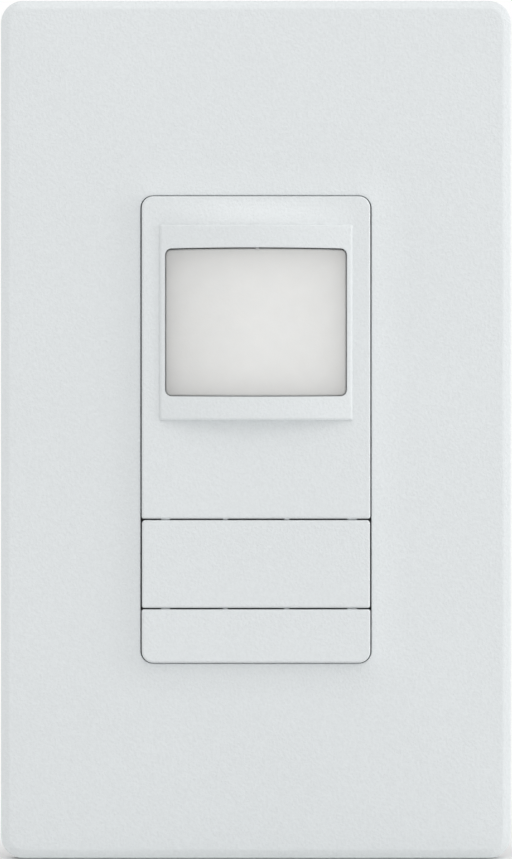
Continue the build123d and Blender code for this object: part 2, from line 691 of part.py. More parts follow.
def sensor_face():
    """The fixed face: a tray with the crowned hood, nubs, latch arms and lens pegs."""
    panel = rounded_panel(
        FACE_WIDTH, FIXED_FACE_BOTTOM, FACE_TOP_Z, FACE_LOWER_CORNER, FACE_CORNER
    )
    body = prism(panel, FACE_FRONT, TOWER_FRONT)
    front = body.faces().sort_by(Axis.Y)[0]
    body = chamfer(front.edges(), EDGE_BREAK)
    body -= brick(
        -FACE_WIDTH / 2 + FACE_WALL,
        FACE_WIDTH / 2 - FACE_WALL,
        FACE_BACK,
        TOWER_FRONT,
        FIXED_FACE_BOTTOM + FACE_WALL,
        FACE_TOP_Z - FACE_WALL,
    )
    hood = prism(
        Pos(0, LENS_MIDDLE_Z) * Rectangle(HOOD_WIDTH, HOOD_HEIGHT),
        HOOD_FRONT - CUT_OVER,
        FACE_BACK,
    )
    hood &= crowned(HOOD_WIDTH, HOOD_FRONT, FACE_BACK)
    crown = hood.faces().sort_by(Axis.Y)[0]
    hood = chamfer(crown.edges(), HOOD_EDGE)
    body += hood
    body -= prism(offset(lens_outline(), LENS_GAP), HOOD_FRONT - CUT_OVER, FACE_BACK)
    for x, width in NUBS:
        body += brick(
            x - width / 2,
            x + width / 2,
            FACE_FRONT + NUB_SETBACK,
            FACE_BACK,
            FIXED_FACE_BOTTOM - NUB_HEIGHT,
            FIXED_FACE_BOTTOM + NUB_HEIGHT,
        )
    for side in (-1, 1):
        for z in (LOWER_LATCH_Z, UPPER_LATCH_Z):
            body += latch(side, z)
    for place in peg_places():
        body += prism(place * Rectangle(PEG_SIZE, PEG_SIZE), FACE_BACK, RING_BACK)
        cap = place * Rectangle(PEG_CAP_SIZE, PEG_CAP_SIZE)
        body += prism(cap, RING_BACK, RING_BACK + PEG_CAP)
    return body


def peg_places():
    """Where the lens frame is staked: above and below the lens, left and right."""
    inset = (PEG_CAP_SIZE + SNAP_PLAY) / 2
    top = LENS_MIDDLE_Z + FRAME_RING_HEIGHT / 2 - inset
    low = LENS_MIDDLE_Z - FRAME_RING_HEIGHT / 2 + inset
    return [Pos(x, z) for x in (-PEG_OFFSET, PEG_OFFSET) for z in (low, top)]


def sensor_lens():
    """The lens: a crowned shell with a seating flange and lenslets on its inner side."""
    outline = lens_outline()
    body = prism(outline, LENS_FRONT - CUT_OVER, RING_FRONT)
    body &= crowned(2 * FACE_WIDTH, LENS_FRONT, RING_FRONT)
    crown = body.faces().sort_by(Axis.Y)[0]
    body = chamfer(crown.edges(), LENS_EDGE)
    inner = offset(outline, -LENS_SHELL)
    hollow = prism(inner, LENS_FRONT - CUT_OVER, RING_FRONT)
    hollow &= crowned(2 * FACE_WIDTH, LENS_FRONT + LENS_SHELL, RING_FRONT)
    body -= hollow
    flange = offset(outline, LENS_GAP + LENS_FLANGE_REACH) - inner
    body += prism(flange, FACE_BACK, RING_FRONT)
    column_pitch = (LENS_WIDTH - 2 * LENS_SHELL) / (LENSLET_COLUMNS + 1)
    row_pitch = (LENS_HEIGHT - 2 * LENS_SHELL) / (LENSLET_ROWS + 0.5)
    radius = HOOD_RADIUS - LENS_SETBACK - LENS_SHELL
    for column in range(LENSLET_COLUMNS):
        x = (column - (LENSLET_COLUMNS - 1) / 2) * column_pitch
        y = LENS_FRONT + LENS_SHELL + radius - (radius**2 - x**2) ** 0.5
        for row in range(LENSLET_ROWS):
            z = LENS_MIDDLE_Z + (row - (LENSLET_ROWS - 1) / 2) * row_pitch
            body += lenslet(x, y, z, column_pitch / 2)
    return body


def lenslet(x, y, z, reach):
    """One small lens on the inner side of the shell, whose surface is at that depth."""
    ball = Pos(x, y + LENSLET_HEIGHT - LENSLET_RADIUS, z) * Sphere(LENSLET_RADIUS)
    front = y - LENS_SHELL / 2
    return ball & brick(x - reach, x + reach, front, y + CUT_OVER, z - reach, z + reach)


def lens_frame():
    """The ring that presses the lens's flange to the face, staked on four pegs."""
    outline = Pos(0, LENS_MIDDLE_Z) * RectangleRounded(
        FRAME_RING_WIDTH, FRAME_RING_HEIGHT, SMALL_CORNER
    )
    outline -= offset(lens_outline(), -LENS_SHELL)
    for place in peg_places():
        outline -= place * Rectangle(PEG_SIZE + SNAP_PLAY, PEG_SIZE + SNAP_PLAY)
    return prism(outline, RING_FRONT, RING_BACK)


def key_body(width, bottom, top, lower_corner, upper_corner, hook_width, post_z):
    """A push key: cap with a skirt, a centre post, stiffeners and two snap hooks."""
    middle = (bottom + top) / 2
    panel = rounded_panel(width, bottom, top, lower_corner, upper_corner)
    skirt_end = TOWER_FRONT - KEY_TRAVEL - KEY_SKIRT_CLEARANCE
    body = prism(panel, FACE_FRONT, skirt_end)
    front = body.faces().sort_by(Axis.Y)[0]
    body = chamfer(front.edges(), EDGE_BREAK)
    body -= brick(
        -width / 2 + KEY_SKIRT_WALL,
        width / 2 - KEY_SKIRT_WALL,
        KEY_BACK,
        skirt_end,
        bottom + KEY_SKIRT_WALL,
        top - KEY_SKIRT_WALL,
    )
    for x in (-HOOK_OFFSET / 2, HOOK_OFFSET / 2):
        body += brick(
            x - STIFFENER / 2,
            x + STIFFENER / 2,
            KEY_BACK,
            skirt_end,
            bottom + KEY_SKIRT_WALL / 2,
            top - KEY_SKIRT_WALL / 2,
        )
    body += rod(0, post_z, POST_RADIUS, KEY_BACK, PLUNGER_TOP)
    catch = DECK_BACK + SNAP_PLAY / 2
    arm = make_face(
        Polyline(
            (HOOK_OFFSET, KEY_BACK),
            (HOOK_OFFSET, catch + HOOK_HEIGHT),
            (HOOK_OFFSET + HOOK_THICKNESS, catch + HOOK_HEIGHT),
            (HOOK_OFFSET + HOOK_THICKNESS + HOOK_NOSE, catch + HOOK_HEIGHT / 2),
            (HOOK_OFFSET + HOOK_THICKNESS + HOOK_NOSE, catch),
            (HOOK_OFFSET + HOOK_THICKNESS, catch),
            (HOOK_OFFSET + HOOK_THICKNESS, KEY_BACK),
            close=True,
        )
    )
    hook = extrude(Plane.XY.offset(middle - hook_width / 2) * arm, amount=hook_width)
    return body + hook + mirror(hook, Plane.YZ)


def main_key():
    """The large key under the fixed face."""
    return key_body(
        FACE_WIDTH - 2 * KEY_SIDE_INSET,
        MAIN_KEY_BOTTOM,
        MAIN_KEY_TOP,
        FACE_LOWER_CORNER,
        KEY_TOP_CORNER,
        MAIN_HOOK_WIDTH,
        MAIN_POST_Z,
    )


def lower_key():
    """The small key at the bottom, with nubs that face the large key."""
    body = key_body(
        FACE_WIDTH,
        LOWER_KEY_BOTTOM,
        LOWER_KEY_TOP,
        FACE_CORNER,
        FACE_LOWER_CORNER,
        LOWER_HOOK_WIDTH,
        LOWER_POST_Z,
    )
    for x, width in NUBS:
        body += brick(
            x - width / 2,
            x + width / 2,
            FACE_FRONT + NUB_SETBACK,
            KEY_BACK,
            LOWER_KEY_TOP - NUB_HEIGHT,
            LOWER_KEY_TOP + NUB_HEIGHT,
        )
    return body


def front_chassis():
    """The inner moulding: flange behind the strap, tower through it, deck for the keys."""
    flange = RectangleRounded(HOUSING_WIDTH, HOUSING_HEIGHT, HOUSING_CORNER)
    for x, z in BOSSES:
        flange -= Pos(x, z) * Circle(HOUSING_SCREW_RADIUS + HOLE_PLAY)
    body = prism(flange, STRAP_BACK, FLANGE_THICKNESS)
    tower = RectangleRounded(FACE_WIDTH, FACE_HEIGHT, FACE_CORNER)
    body += prism(tower, TOWER_FRONT, FLANGE_THICKNESS)
    body -= brick(
        -TOWER_INNER_HALF,
        TOWER_INNER_HALF,
        TOWER_FRONT,
        FLANGE_THICKNESS,
        CROSS_WALL_TOP,
        TOWER_INNER_TOP,
    )
    body -= brick(
        -TOWER_INNER_HALF,
        TOWER_INNER_HALF,
        DECK_BACK,
        FLANGE_THICKNESS,
        -TOWER_INNER_TOP,
        CROSS_WALL_BOTTOM,
    )
    for post_z in (MAIN_POST_Z, LOWER_POST_Z):
        body -= rod(0, post_z, POST_RADIUS + HOLE_PLAY, TOWER_FRONT, DECK_BACK)
    for z, hook_width in ((MAIN_KEY_Z, MAIN_HOOK_WIDTH), (LOWER_KEY_Z, LOWER_HOOK_WIDTH)):
        for side in (-1, 1):
            body -= brick(
                side * (HOOK_OFFSET - HOOK_FLEX),
                side * (HOOK_OFFSET + HOOK_THICKNESS + SLIDE_PLAY),
                TOWER_FRONT,
                DECK_BACK,
                z - hook_width / 2 - SLIDE_PLAY,
                z + hook_width / 2 + SLIDE_PLAY,
            )
    nose = -LATCH_DEPTH - LATCH_NOSE_HEIGHT
    for side in (-1, 1):
        for z in (LOWER_LATCH_Z, UPPER_LATCH_Z):
            body -= brick(
                side * TOWER_INNER_HALF,
                side * FACE_WIDTH / 2,
                nose - SNAP_PLAY,
                -LATCH_DEPTH + SNAP_PLAY,
                z - LATCH_WIDTH / 2 - SLIDE_PLAY,
                z + LATCH_WIDTH / 2 + SLIDE_PLAY,
            )
    body -= brick(
        -HOUSING_WIDTH / 2,
        GROUND_FLOOR,
        STRAP_BACK,
        FLANGE_THICKNESS,
        GROUND_Z - POCKET_LENGTH / 2,
        GROUND_Z + POCKET_LENGTH / 2,
    )
    return body


def board_outline(width, height):
    """A circuit board cut back round the four screw bosses of the housing."""
    outline = RectangleRounded(width, height, SMALL_CORNER)
    for x, z in BOSSES:
        outline -= Pos(x, z) * Circle(BOSS_RADIUS + FIT_PLAY)
    return outline


def pin_columns():
    """Places across the device of the pins that join the boards."""
    return [(column - (PIN_COUNT - 1) / 2) * PIN_PITCH for column in range(PIN_COUNT)]


def detector_leads():
    """Places of the three leads of the heat detector."""
    z = LENS_MIDDLE_Z
    return [(-PIR_LEAD_OFFSET, z), (PIR_LEAD_OFFSET, z), (0, z - PIR_LEAD_OFFSET)]


def lead_pair(x):
    """Places of the two leads of a part beside the detector."""
    return [(x - LEAD_OFFSET, LENS_MIDDLE_Z), (x + LEAD_OFFSET, LENS_MIDDLE_Z)]


def leads(places):
    """Leads that pass through the front board."""
    half = LEAD_WIDTH / 2
    end = FRONT_BOARD + LEAD_LENGTH
    return [brick(x - half, x + half, FRONT_BOARD, end, z - half, z + half) for x, z in places]


def switch_legs(z):
    """Places of the four flat legs of a switch."""
    reach = (SWITCH_SIZE + SWITCH_LEG_STOCK) / 2
    offsets = (-SWITCH_LEG_OFFSET, SWITCH_LEG_OFFSET)
    return [(x, z + offset_z) for x in (-reach, reach) for offset_z in offsets]


def front_board():
    """The board behind the chassis, with holes for every lead that passes it."""
    inner_width = HOUSING_WIDTH - 2 * (HOUSING_WALL + FIT_PLAY)
    inner_height = HOUSING_HEIGHT - 2 * (HOUSING_WALL + FIT_PLAY)
    outline = board_outline(inner_width, inner_height)
    wall_edge = GROUND_FLOOR + POCKET_WALL + FIT_PLAY
    notch_length = POCKET_LENGTH + 2 * (POCKET_WALL + FIT_PLAY)
    notch = Rectangle(wall_edge + STRAP_WIDTH / 2, notch_length)
    outline -= Pos((wall_edge - STRAP_WIDTH / 2) / 2, GROUND_Z) * notch
    lead_places = detector_leads() + lead_pair(-PHOTOCELL_OFFSET) + lead_pair(PHOTOCELL_OFFSET)
    lead_hole = Rectangle(LEAD_WIDTH + 2 * SLIDE_PLAY, LEAD_WIDTH + 2 * SLIDE_PLAY)
    for x, z in lead_places:
        outline -= Pos(x, z) * lead_hole
    leg_hole = Rectangle(SWITCH_LEG_STOCK + 2 * HOLE_PLAY, SWITCH_LEG_WIDTH + 2 * HOLE_PLAY)
    for x, z in switch_legs(MAIN_POST_Z) + switch_legs(LOWER_POST_Z):
        outline -= Pos(x, z) * leg_hole
    return prism(outline, FRONT_BOARD, FRONT_BOARD_BACK)


def pir_detector():
    """The steel can of the heat detector, with its base flange and a window cut-out."""
    shape = turned(
        [
            (0, 0),
            (PIR_FLANGE_RADIUS, 0),
            (PIR_FLANGE_RADIUS, PIR_FLANGE),
            (PIR_CAN_RADIUS, PIR_FLANGE),
            (PIR_CAN_RADIUS, PIR_HEIGHT - PIR_EDGE),
            (PIR_CAN_RADIUS - PIR_EDGE, PIR_HEIGHT),
            (0, PIR_HEIGHT),
        ]
    )
    can = Pos(0, FRONT_BOARD, LENS_MIDDLE_Z) * OUT_OF_WALL * shape
    can -= prism(
        Pos(0, LENS_MIDDLE_Z) * Rectangle(PIR_WINDOW_WIDTH, PIR_WINDOW_HEIGHT),
        PIR_TOP,
        PIR_TOP + PIR_WINDOW_THICKNESS,
    )
    for lead in leads(detector_leads()):
        can += lead
    return can


def pir_window():
    """The filter glass in the detector's can."""
    play = THREAD_PLAY * 2
    return prism(
        Pos(0, LENS_MIDDLE_Z) * Rectangle(PIR_WINDOW_WIDTH - play, PIR_WINDOW_HEIGHT - play),
        PIR_TOP + play,
        PIR_TOP + PIR_WINDOW_THICKNESS,
    )


def photocell():
    """The light cell: a ceramic disc with two flats and two leads."""
    disc = Circle(PHOTOCELL_RADIUS) & Rectangle(2 * PHOTOCELL_RADIUS, PHOTOCELL_FLATS)
    place = Pos(PHOTOCELL_OFFSET, LENS_MIDDLE_Z)
    body = prism(place * disc, FRONT_BOARD - PHOTOCELL_HEIGHT, FRONT_BOARD)
    for lead in leads(lead_pair(PHOTOCELL_OFFSET)):
        body += lead
    return body


def photocell_shroud():
    """The dark tube round the light cell that keeps the indicator's light out."""
    inner = PHOTOCELL_RADIUS + SLIDE_PLAY
    outline = Circle(inner + SHROUD_WALL) - Circle(inner)
    place = Pos(PHOTOCELL_OFFSET, LENS_MIDDLE_Z)
    return prism(place * outline, FRONT_BOARD - SHROUD_HEIGHT, FRONT_BOARD)


def status_led():
    """The indicator behind the lens: a flat-topped lamp with a rim and two leads."""
    lamp = turned(
        [
            (0, 0),
            (LED_RADIUS + LED_RIM, 0),
            (LED_RADIUS + LED_RIM, LED_RIM_HEIGHT),
            (LED_RADIUS, LED_RIM_HEIGHT),
            (LED_RADIUS, LED_HEIGHT),
            (0, LED_HEIGHT),
        ]
    )
    body = Pos(-PHOTOCELL_OFFSET, FRONT_BOARD, LENS_MIDDLE_Z) * OUT_OF_WALL * lamp
    for lead in leads(lead_pair(-PHOTOCELL_OFFSET)):
        body += lead
    return body


def push_switch(z):
    """A small push switch: square body with a round well and four flat legs."""
    half = SWITCH_SIZE / 2
    body = brick(-half, half, SWITCH_TOP, FRONT_BOARD, z - half, z + half)
    well_floor = SWITCH_TOP + PLUNGER_DEPTH + WELL_SPARE
    body -= rod(0, z, POST_RADIUS + SLIDE_PLAY, SWITCH_TOP, well_floor)
    for x, leg_z in switch_legs(z):
        body += brick(
            x - SWITCH_LEG_STOCK / 2,
            x + SWITCH_LEG_STOCK / 2,
            SWITCH_TOP + SWITCH_HEIGHT / 2,
            FRONT_BOARD_BACK + SWITCH_LEG_TAIL,
            leg_z - SWITCH_LEG_WIDTH / 2,
            leg_z + SWITCH_LEG_WIDTH / 2,
        )
    return body


def push_plunger(z):
    """The moving button of a push switch, under the key's post."""
    end = SWITCH_TOP + PLUNGER_DEPTH - KEY_TRAVEL
    return rod(0, z, POST_RADIUS, PLUNGER_TOP, end)


def controller_chip():
    """The controller on the back of the front board, with leads on two sides."""
    half = CHIP_SIZE / 2
    edge = CHIP_WIDTH / 2
    front = FRONT_BOARD_BACK + CHIP_LIFT
    end = FRONT_BOARD_BACK + CHIP_HEIGHT
    body = brick(-edge, edge, front, end, CHIP_Z - half, CHIP_Z + half)
    for side in (-1, 1):
        for row in range(CHIP_LEADS):
            lead_z = CHIP_Z + (row - (CHIP_LEADS - 1) / 2) * CHIP_LEAD_PITCH
            body += brick(
                side * edge,
                side * (edge + CHIP_LEAD_REACH),
                FRONT_BOARD_BACK,
                FRONT_BOARD_BACK + CHIP_LEAD_STOCK,
                lead_z - CHIP_LEAD_WIDTH / 2,
                lead_z + CHIP_LEAD_WIDTH / 2,
            )
    return body


def board_socket():
    """The socket strip on the front board's back."""
    width = PIN_COUNT * PIN_PITCH
    end = FRONT_BOARD_BACK + SOCKET_HEIGHT
    half = HEADER_WIDTH / 2
    body = brick(-width / 2, width / 2, FRONT_BOARD_BACK, end, HEADER_Z - half, HEADER_Z + half)
    slot = (PIN_SIZE + SLIDE_PLAY) / 2
    floor = FRONT_BOARD_BACK + SOCKET_FLOOR
    for x in pin_columns():
        body -= brick(x - slot, x + slot, floor, end, HEADER_Z - slot, HEADER_Z + slot)
    return body


def board_pins():
    """The pin strip on the power board, whose pins enter the socket."""
    width = PIN_COUNT * PIN_PITCH
    half = HEADER_WIDTH / 2
    body = brick(
        -width / 2,
        width / 2,
        POWER_BOARD - PIN_BASE_HEIGHT,
        POWER_BOARD,
        HEADER_Z - half,
        HEADER_Z + half,
    )
    pin = PIN_SIZE / 2
    for x in pin_columns():
        body += brick(
            x - pin,
            x + pin,
            FRONT_BOARD_BACK + SOCKET_FLOOR + PIN_END_PLAY,
            POWER_BOARD_BACK + PIN_TAIL,
            HEADER_Z - pin,
            HEADER_Z + pin,
        )
    return body


def power_board():
    """The mains board, seated on the terminal pockets, notched for the terminal lugs."""
    outline = board_outline(POWER_BOARD_WIDTH, POWER_BOARD_HEIGHT)
    inner = POCKET_FLOOR - HOLE_PLAY
    for side, z in TERMINALS.values():
        reach = POWER_BOARD_WIDTH / 2 - inner
        outline -= Pos(side * (inner + reach / 2), z) * Rectangle(
            reach, LUG_WIDTH + 2 * HOLE_PLAY
        )
    hole = PIN_SIZE + SLIDE_PLAY
    for x in pin_columns():
        outline -= Pos(x, HEADER_Z) * Rectangle(hole, hole)
    return prism(outline, POWER_BOARD, POWER_BOARD_BACK)


def standing(size, place):
    """A block that stands on the back of the power board."""
    width, rise, height = size
    x, z = place
    return brick(
        x - width / 2,
        x + width / 2,
        POWER_BOARD_BACK,
        POWER_BOARD_BACK + rise,
        z - height / 2,
        z + height / 2,
    )


def relay():
    """The load relay in its sealed case."""
    case = standing(RELAY_SIZE, RELAY_PLACE)
    back = case.faces().sort_by(Axis.Y)[-1]
    return fillet(back.edges(), RELAY_EDGE)


def film_capacitor():
    """The mains suppression capacitor."""
    case = standing(FILM_CAPACITOR_SIZE, FILM_CAPACITOR_PLACE)
    back = case.faces().sort_by(Axis.Y)[-1]
    return chamfer(back.edges(), CASE_CHAMFER)


def reservoir_capacitor():
    """The round reservoir capacitor."""
    x, z = RESERVOIR_PLACE
    return rod(x, z, RESERVOIR_RADIUS, POWER_BOARD_BACK, POWER_BOARD_BACK + RESERVOIR_LENGTH)


def surge_varistor():
    """The surge disc, standing on its edge on two leads."""
    x, z = VARISTOR_PLACE
    middle = POWER_BOARD_BACK + VARISTOR_LIFT + VARISTOR_RADIUS
    half = VARISTOR_THICKNESS / 2
    body = side_prism(Pos(middle, z) * Circle(VARISTOR_RADIUS), x - half, x + half)
    half = VARISTOR_LEAD_WIDTH / 2
    for lead_z in (z - VARISTOR_LEAD_OFFSET, z + VARISTOR_LEAD_OFFSET):
        low, high = lead_z - half, lead_z + half
        body += brick(x - half, x + half, POWER_BOARD_BACK, middle, low, high)
    return body


def transformer_core():
    """The ferrite core: three limbs between two yokes."""
    x, z = CORE_PLACE
    rise, height = CORE_SIZE[1:]
    core = standing(CORE_SIZE, CORE_PLACE)
    middle_edge = CORE_MIDDLE_LIMB / 2
    for side in (-1, 1):
        core -= brick(
            x + side * middle_edge,
            x + side * (middle_edge + CORE_WINDOW),
            POWER_BOARD_BACK + CORE_YOKE,
            POWER_BOARD_BACK + rise - CORE_YOKE,
            z - height,
            z + height,
        )
    return core


def transformer_coil():
    """The taped winding round the core's middle limb."""
    x, z = CORE_PLACE
    rise, height = CORE_SIZE[1:]
    inner_half = CORE_MIDDLE_LIMB / 2 + SLIDE_PLAY
    outer_half = CORE_MIDDLE_LIMB / 2 + CORE_WINDOW - SLIDE_PLAY
    depth_half = height / 2 + SLIDE_PLAY
    outline = Rectangle(2 * outer_half, 2 * (depth_half + COIL_BUILD))
    outline = fillet(outline.vertices(), COIL_CORNER)
    outline -= Rectangle(2 * inner_half, 2 * depth_half)
    return prism(
        Pos(x, z) * outline,
        POWER_BOARD_BACK + CORE_YOKE + SNAP_PLAY,
        POWER_BOARD_BACK + rise - CORE_YOKE - SNAP_PLAY,
    )


def fuse():
    """The fuse: a ceramic tube between two wider end caps."""
    x, z = FUSE_PLACE
    tube = FUSE_RADIUS - FUSE_CAP_STOCK
    half = FUSE_LENGTH / 2
    shape = turned(
        [
            (0, -half),
            (FUSE_RADIUS, -half),
            (FUSE_RADIUS, -half + FUSE_CAP_LENGTH),
            (tube, -half + FUSE_CAP_LENGTH),
            (tube, half - FUSE_CAP_LENGTH),
            (FUSE_RADIUS, half - FUSE_CAP_LENGTH),
            (FUSE_RADIUS, half),
            (0, half),
        ]
    )
    return Pos(x, POWER_BOARD_BACK + FUSE_RADIUS, z) * shape


def bridge_rectifier():
    """The rectifier block with its four legs beside it."""
    x, z = RECTIFIER_PLACE
    edge = RECTIFIER_SIZE[0] / 2
    body = standing(RECTIFIER_SIZE, RECTIFIER_PLACE)
    back = body.faces().sort_by(Axis.Y)[-1]
    body = chamfer(back.edges(), CASE_CHAMFER)
    reach = RECTIFIER_LEG[0] / 2
    for side in (-1, 1):
        for leg_z in (z - RECTIFIER_LEG_OFFSET, z + RECTIFIER_LEG_OFFSET):
            body += standing(RECTIFIER_LEG, (x + side * (edge + reach), leg_z))
    return body


def pocket_block(side, z):
    """The solid walls of one terminal pocket, from the board's seat to the back."""
    inner = POCKET_FLOOR - POCKET_WALL
    half = POCKET_LENGTH / 2 + POCKET_WALL
    outer = HOUSING_WIDTH / 2 - HOUSING_WALL / 2
    return brick(
        side * inner, side * outer, POWER_BOARD_BACK, HOUSING_INSIDE_BACK, z - half, z + half
    )


def rear_housing():
    """The box behind the strap: screw bosses, board seats, terminal pockets, wire holes."""
    outer = RectangleRounded(HOUSING_WIDTH, HOUSING_HEIGHT, HOUSING_CORNER)
    shell = prism(outer, FLANGE_THICKNESS, HOUSING_BACK)
    back = shell.faces().sort_by(Axis.Y)[-1]
    shell = chamfer(back.edges(), HOUSING_EDGE)
    cavity = RectangleRounded(
        HOUSING_WIDTH - 2 * HOUSING_WALL,
        HOUSING_HEIGHT - 2 * HOUSING_WALL,
        HOUSING_CORNER - HOUSING_WALL,
    )
    body = shell - prism(cavity, FLANGE_THICKNESS, HOUSING_INSIDE_BACK)
    for x, z in BOSSES:
        body += rod(x, z, BOSS_RADIUS, FLANGE_THICKNESS, HOUSING_INSIDE_BACK)
    rib_inner = HOUSING_WIDTH / 2 - HOUSING_WALL - GRIP_RIB
    for side, z in GRIP_RIBS:
        body += brick(
            side * rib_inner,
            side * (HOUSING_WIDTH - HOUSING_WALL) / 2,
            FRONT_BOARD_BACK,
            HOUSING_INSIDE_BACK,
            z - GRIP_RIB_WIDTH / 2,
            z + GRIP_RIB_WIDTH / 2,
        )
    for side, z in TERMINALS.values():
        body += pocket_block(side, z)
    ground_inner = GROUND_FLOOR + POCKET_WALL
    ground_half = POCKET_LENGTH / 2 + POCKET_WALL
    body += brick(
        -(HOUSING_WIDTH - HOUSING_WALL) / 2,
        ground_inner,
        FLANGE_THICKNESS,
        GROUND_BACK + POCKET_WALL,
        GROUND_Z - ground_half,
        GROUND_Z + ground_half,
    )
    for side, z in TERMINALS.values():
        body -= brick(
            side * POCKET_FLOOR,
            side * HOUSING_WIDTH / 2,
            POCKET_FRONT,
            POCKET_BACK,
            z - POCKET_LENGTH / 2,
            z + POCKET_LENGTH / 2,
        )
        body -= brick(
            side * (POCKET_FLOOR - HOLE_PLAY),
            side * (POCKET_FLOOR + PLATE_STOCK + HOLE_PLAY),
            POWER_BOARD_BACK,
            POCKET_FRONT,
            z - LUG_WIDTH / 2 - HOLE_PLAY,
            z + LUG_WIDTH / 2 + HOLE_PLAY,
        )
        screw_hole = Pos(BINDING_Y, z) * Circle(SCREW_RADIUS + HOLE_PLAY)
        floor = sorted((side * (POCKET_FLOOR - POCKET_WALL), side * POCKET_FLOOR))
        body -= side_prism(screw_hole, *floor)
        wire_x = side * (POCKET_FLOOR + PLATE_STOCK + CLAMP_STOCK / 2)
        for dz in (-WIRE_HOLE_OFFSET, WIRE_HOLE_OFFSET):
            body -= rod(wire_x, z + dz, WIRE_HOLE_RADIUS, POCKET_BACK, HOUSING_BACK)
    body -= brick(
        -HOUSING_WIDTH / 2,
        GROUND_FLOOR,
        FLANGE_THICKNESS,
        GROUND_BACK,
        GROUND_Z - POCKET_LENGTH / 2,
        GROUND_Z + POCKET_LENGTH / 2,
    )
    ground_hole = Pos(GROUND_SCREW_DEPTH, GROUND_Z) * Circle(SCREW_RADIUS + HOLE_PLAY)
    body -= side_prism(ground_hole, GROUND_FLOOR, ground_inner)
    sink = HOUSING_BACK - COUNTERBORE_DEPTH
    for x, z in BOSSES:
        body -= rod(x, z, HOUSING_SCREW_RADIUS + HOLE_PLAY, FLANGE_THICKNESS, HOUSING_BACK)
        body -= rod(x, z, HOUSING_SCREW_HEAD + HOLE_PLAY, sink, HOUSING_BACK)
    gauge = Pos(0, -BOSS_Z + GAUGE_LENGTH / 2) * SlotOverall(GAUGE_LENGTH, GAUGE_WIDTH)
    body -= prism(gauge, HOUSING_BACK - GAUGE_DEPTH, HOUSING_BACK)
    body &= prism(outer, FLANGE_THICKNESS, HOUSING_BACK)
    return body


def housing_screws():
    """Four long screws from the back through housing and chassis into the strap."""
    seat = HOUSING_BACK - COUNTERBORE_DEPTH
    head_height = COUNTERBORE_DEPTH - HOLE_PLAY
    shape = screw(HOUSING_SCREW_HEAD, head_height, HOUSING_SCREW_RADIUS, seat - STRAP_FRONT)
    return Compound([Pos(x, seat, z) * OUT_OF_WALL * shape for x, z in BOSSES])


def terminal_plates():
    """Brass plates on the pocket floors, each with a lug that reaches its board."""
    plates = []
    for side, z in TERMINALS.values():
        x_inner = side * POCKET_FLOOR
        x_outer = side * (POCKET_FLOOR + PLATE_STOCK)
        depth_half = TERMINAL_DEPTH / 2
        plate = brick(
            x_inner,
            x_outer,
            BINDING_Y - depth_half,
            BINDING_Y + depth_half,
            z - TERMINAL_WIDTH / 2,
            z + TERMINAL_WIDTH / 2,
        )
        plate += brick(
            x_inner,
            x_outer,
            POWER_BOARD - LUG_TAIL,
            BINDING_Y,
            z - LUG_WIDTH / 2,
            z + LUG_WIDTH / 2,
        )
        hole = Pos(BINDING_Y, z) * Circle(SCREW_RADIUS + THREAD_PLAY)
        plate -= side_prism(hole, *sorted((x_inner, x_outer)))
        plates.append(plate)
    return Compound(plates)


def clamp_plate(side, y, z, bearing):
    """A square clamp with a clear hole for the screw."""
    outer = bearing + CLAMP_STOCK
    outline = Pos(y, z) * Rectangle(CLAMP_SIZE, CLAMP_SIZE)
    outline -= Pos(y, z) * Circle(SCREW_RADIUS + HOLE_PLAY)
    ends = sorted((side * bearing, side * outer))
    return side_prism(outline, *ends)


def terminal_clamps():
    """Clamps that press the wires to the terminal plates."""
    bearing = POCKET_FLOOR + PLATE_STOCK
    return Compound(
        [clamp_plate(side, BINDING_Y, z, bearing) for side, z in TERMINALS.values()]
    )


def terminal_screws():
    """Brass binding screws through clamp and plate."""
    bearing = POCKET_FLOOR + PLATE_STOCK + CLAMP_STOCK
    length = PLATE_STOCK + CLAMP_STOCK + BINDING_TIP
    return Compound(
        [binding_screw(side, BINDING_Y, z, bearing, length) for side, z in TERMINALS.values()]
    )


def ground_clamp():
    """The clamp under the green screw, on the strap's lug."""
    return clamp_plate(-1, GROUND_SCREW_DEPTH, GROUND_Z, -GROUND_PLANE + STRAP_THICKNESS)


def ground_screw():
    """The green grounding screw in the strap's lug."""
    bearing = -GROUND_PLANE + STRAP_THICKNESS + CLAMP_STOCK
    length = STRAP_THICKNESS + CLAMP_STOCK + BINDING_TIP
    return binding_screw(-1, GROUND_SCREW_DEPTH, GROUND_Z, bearing, length)


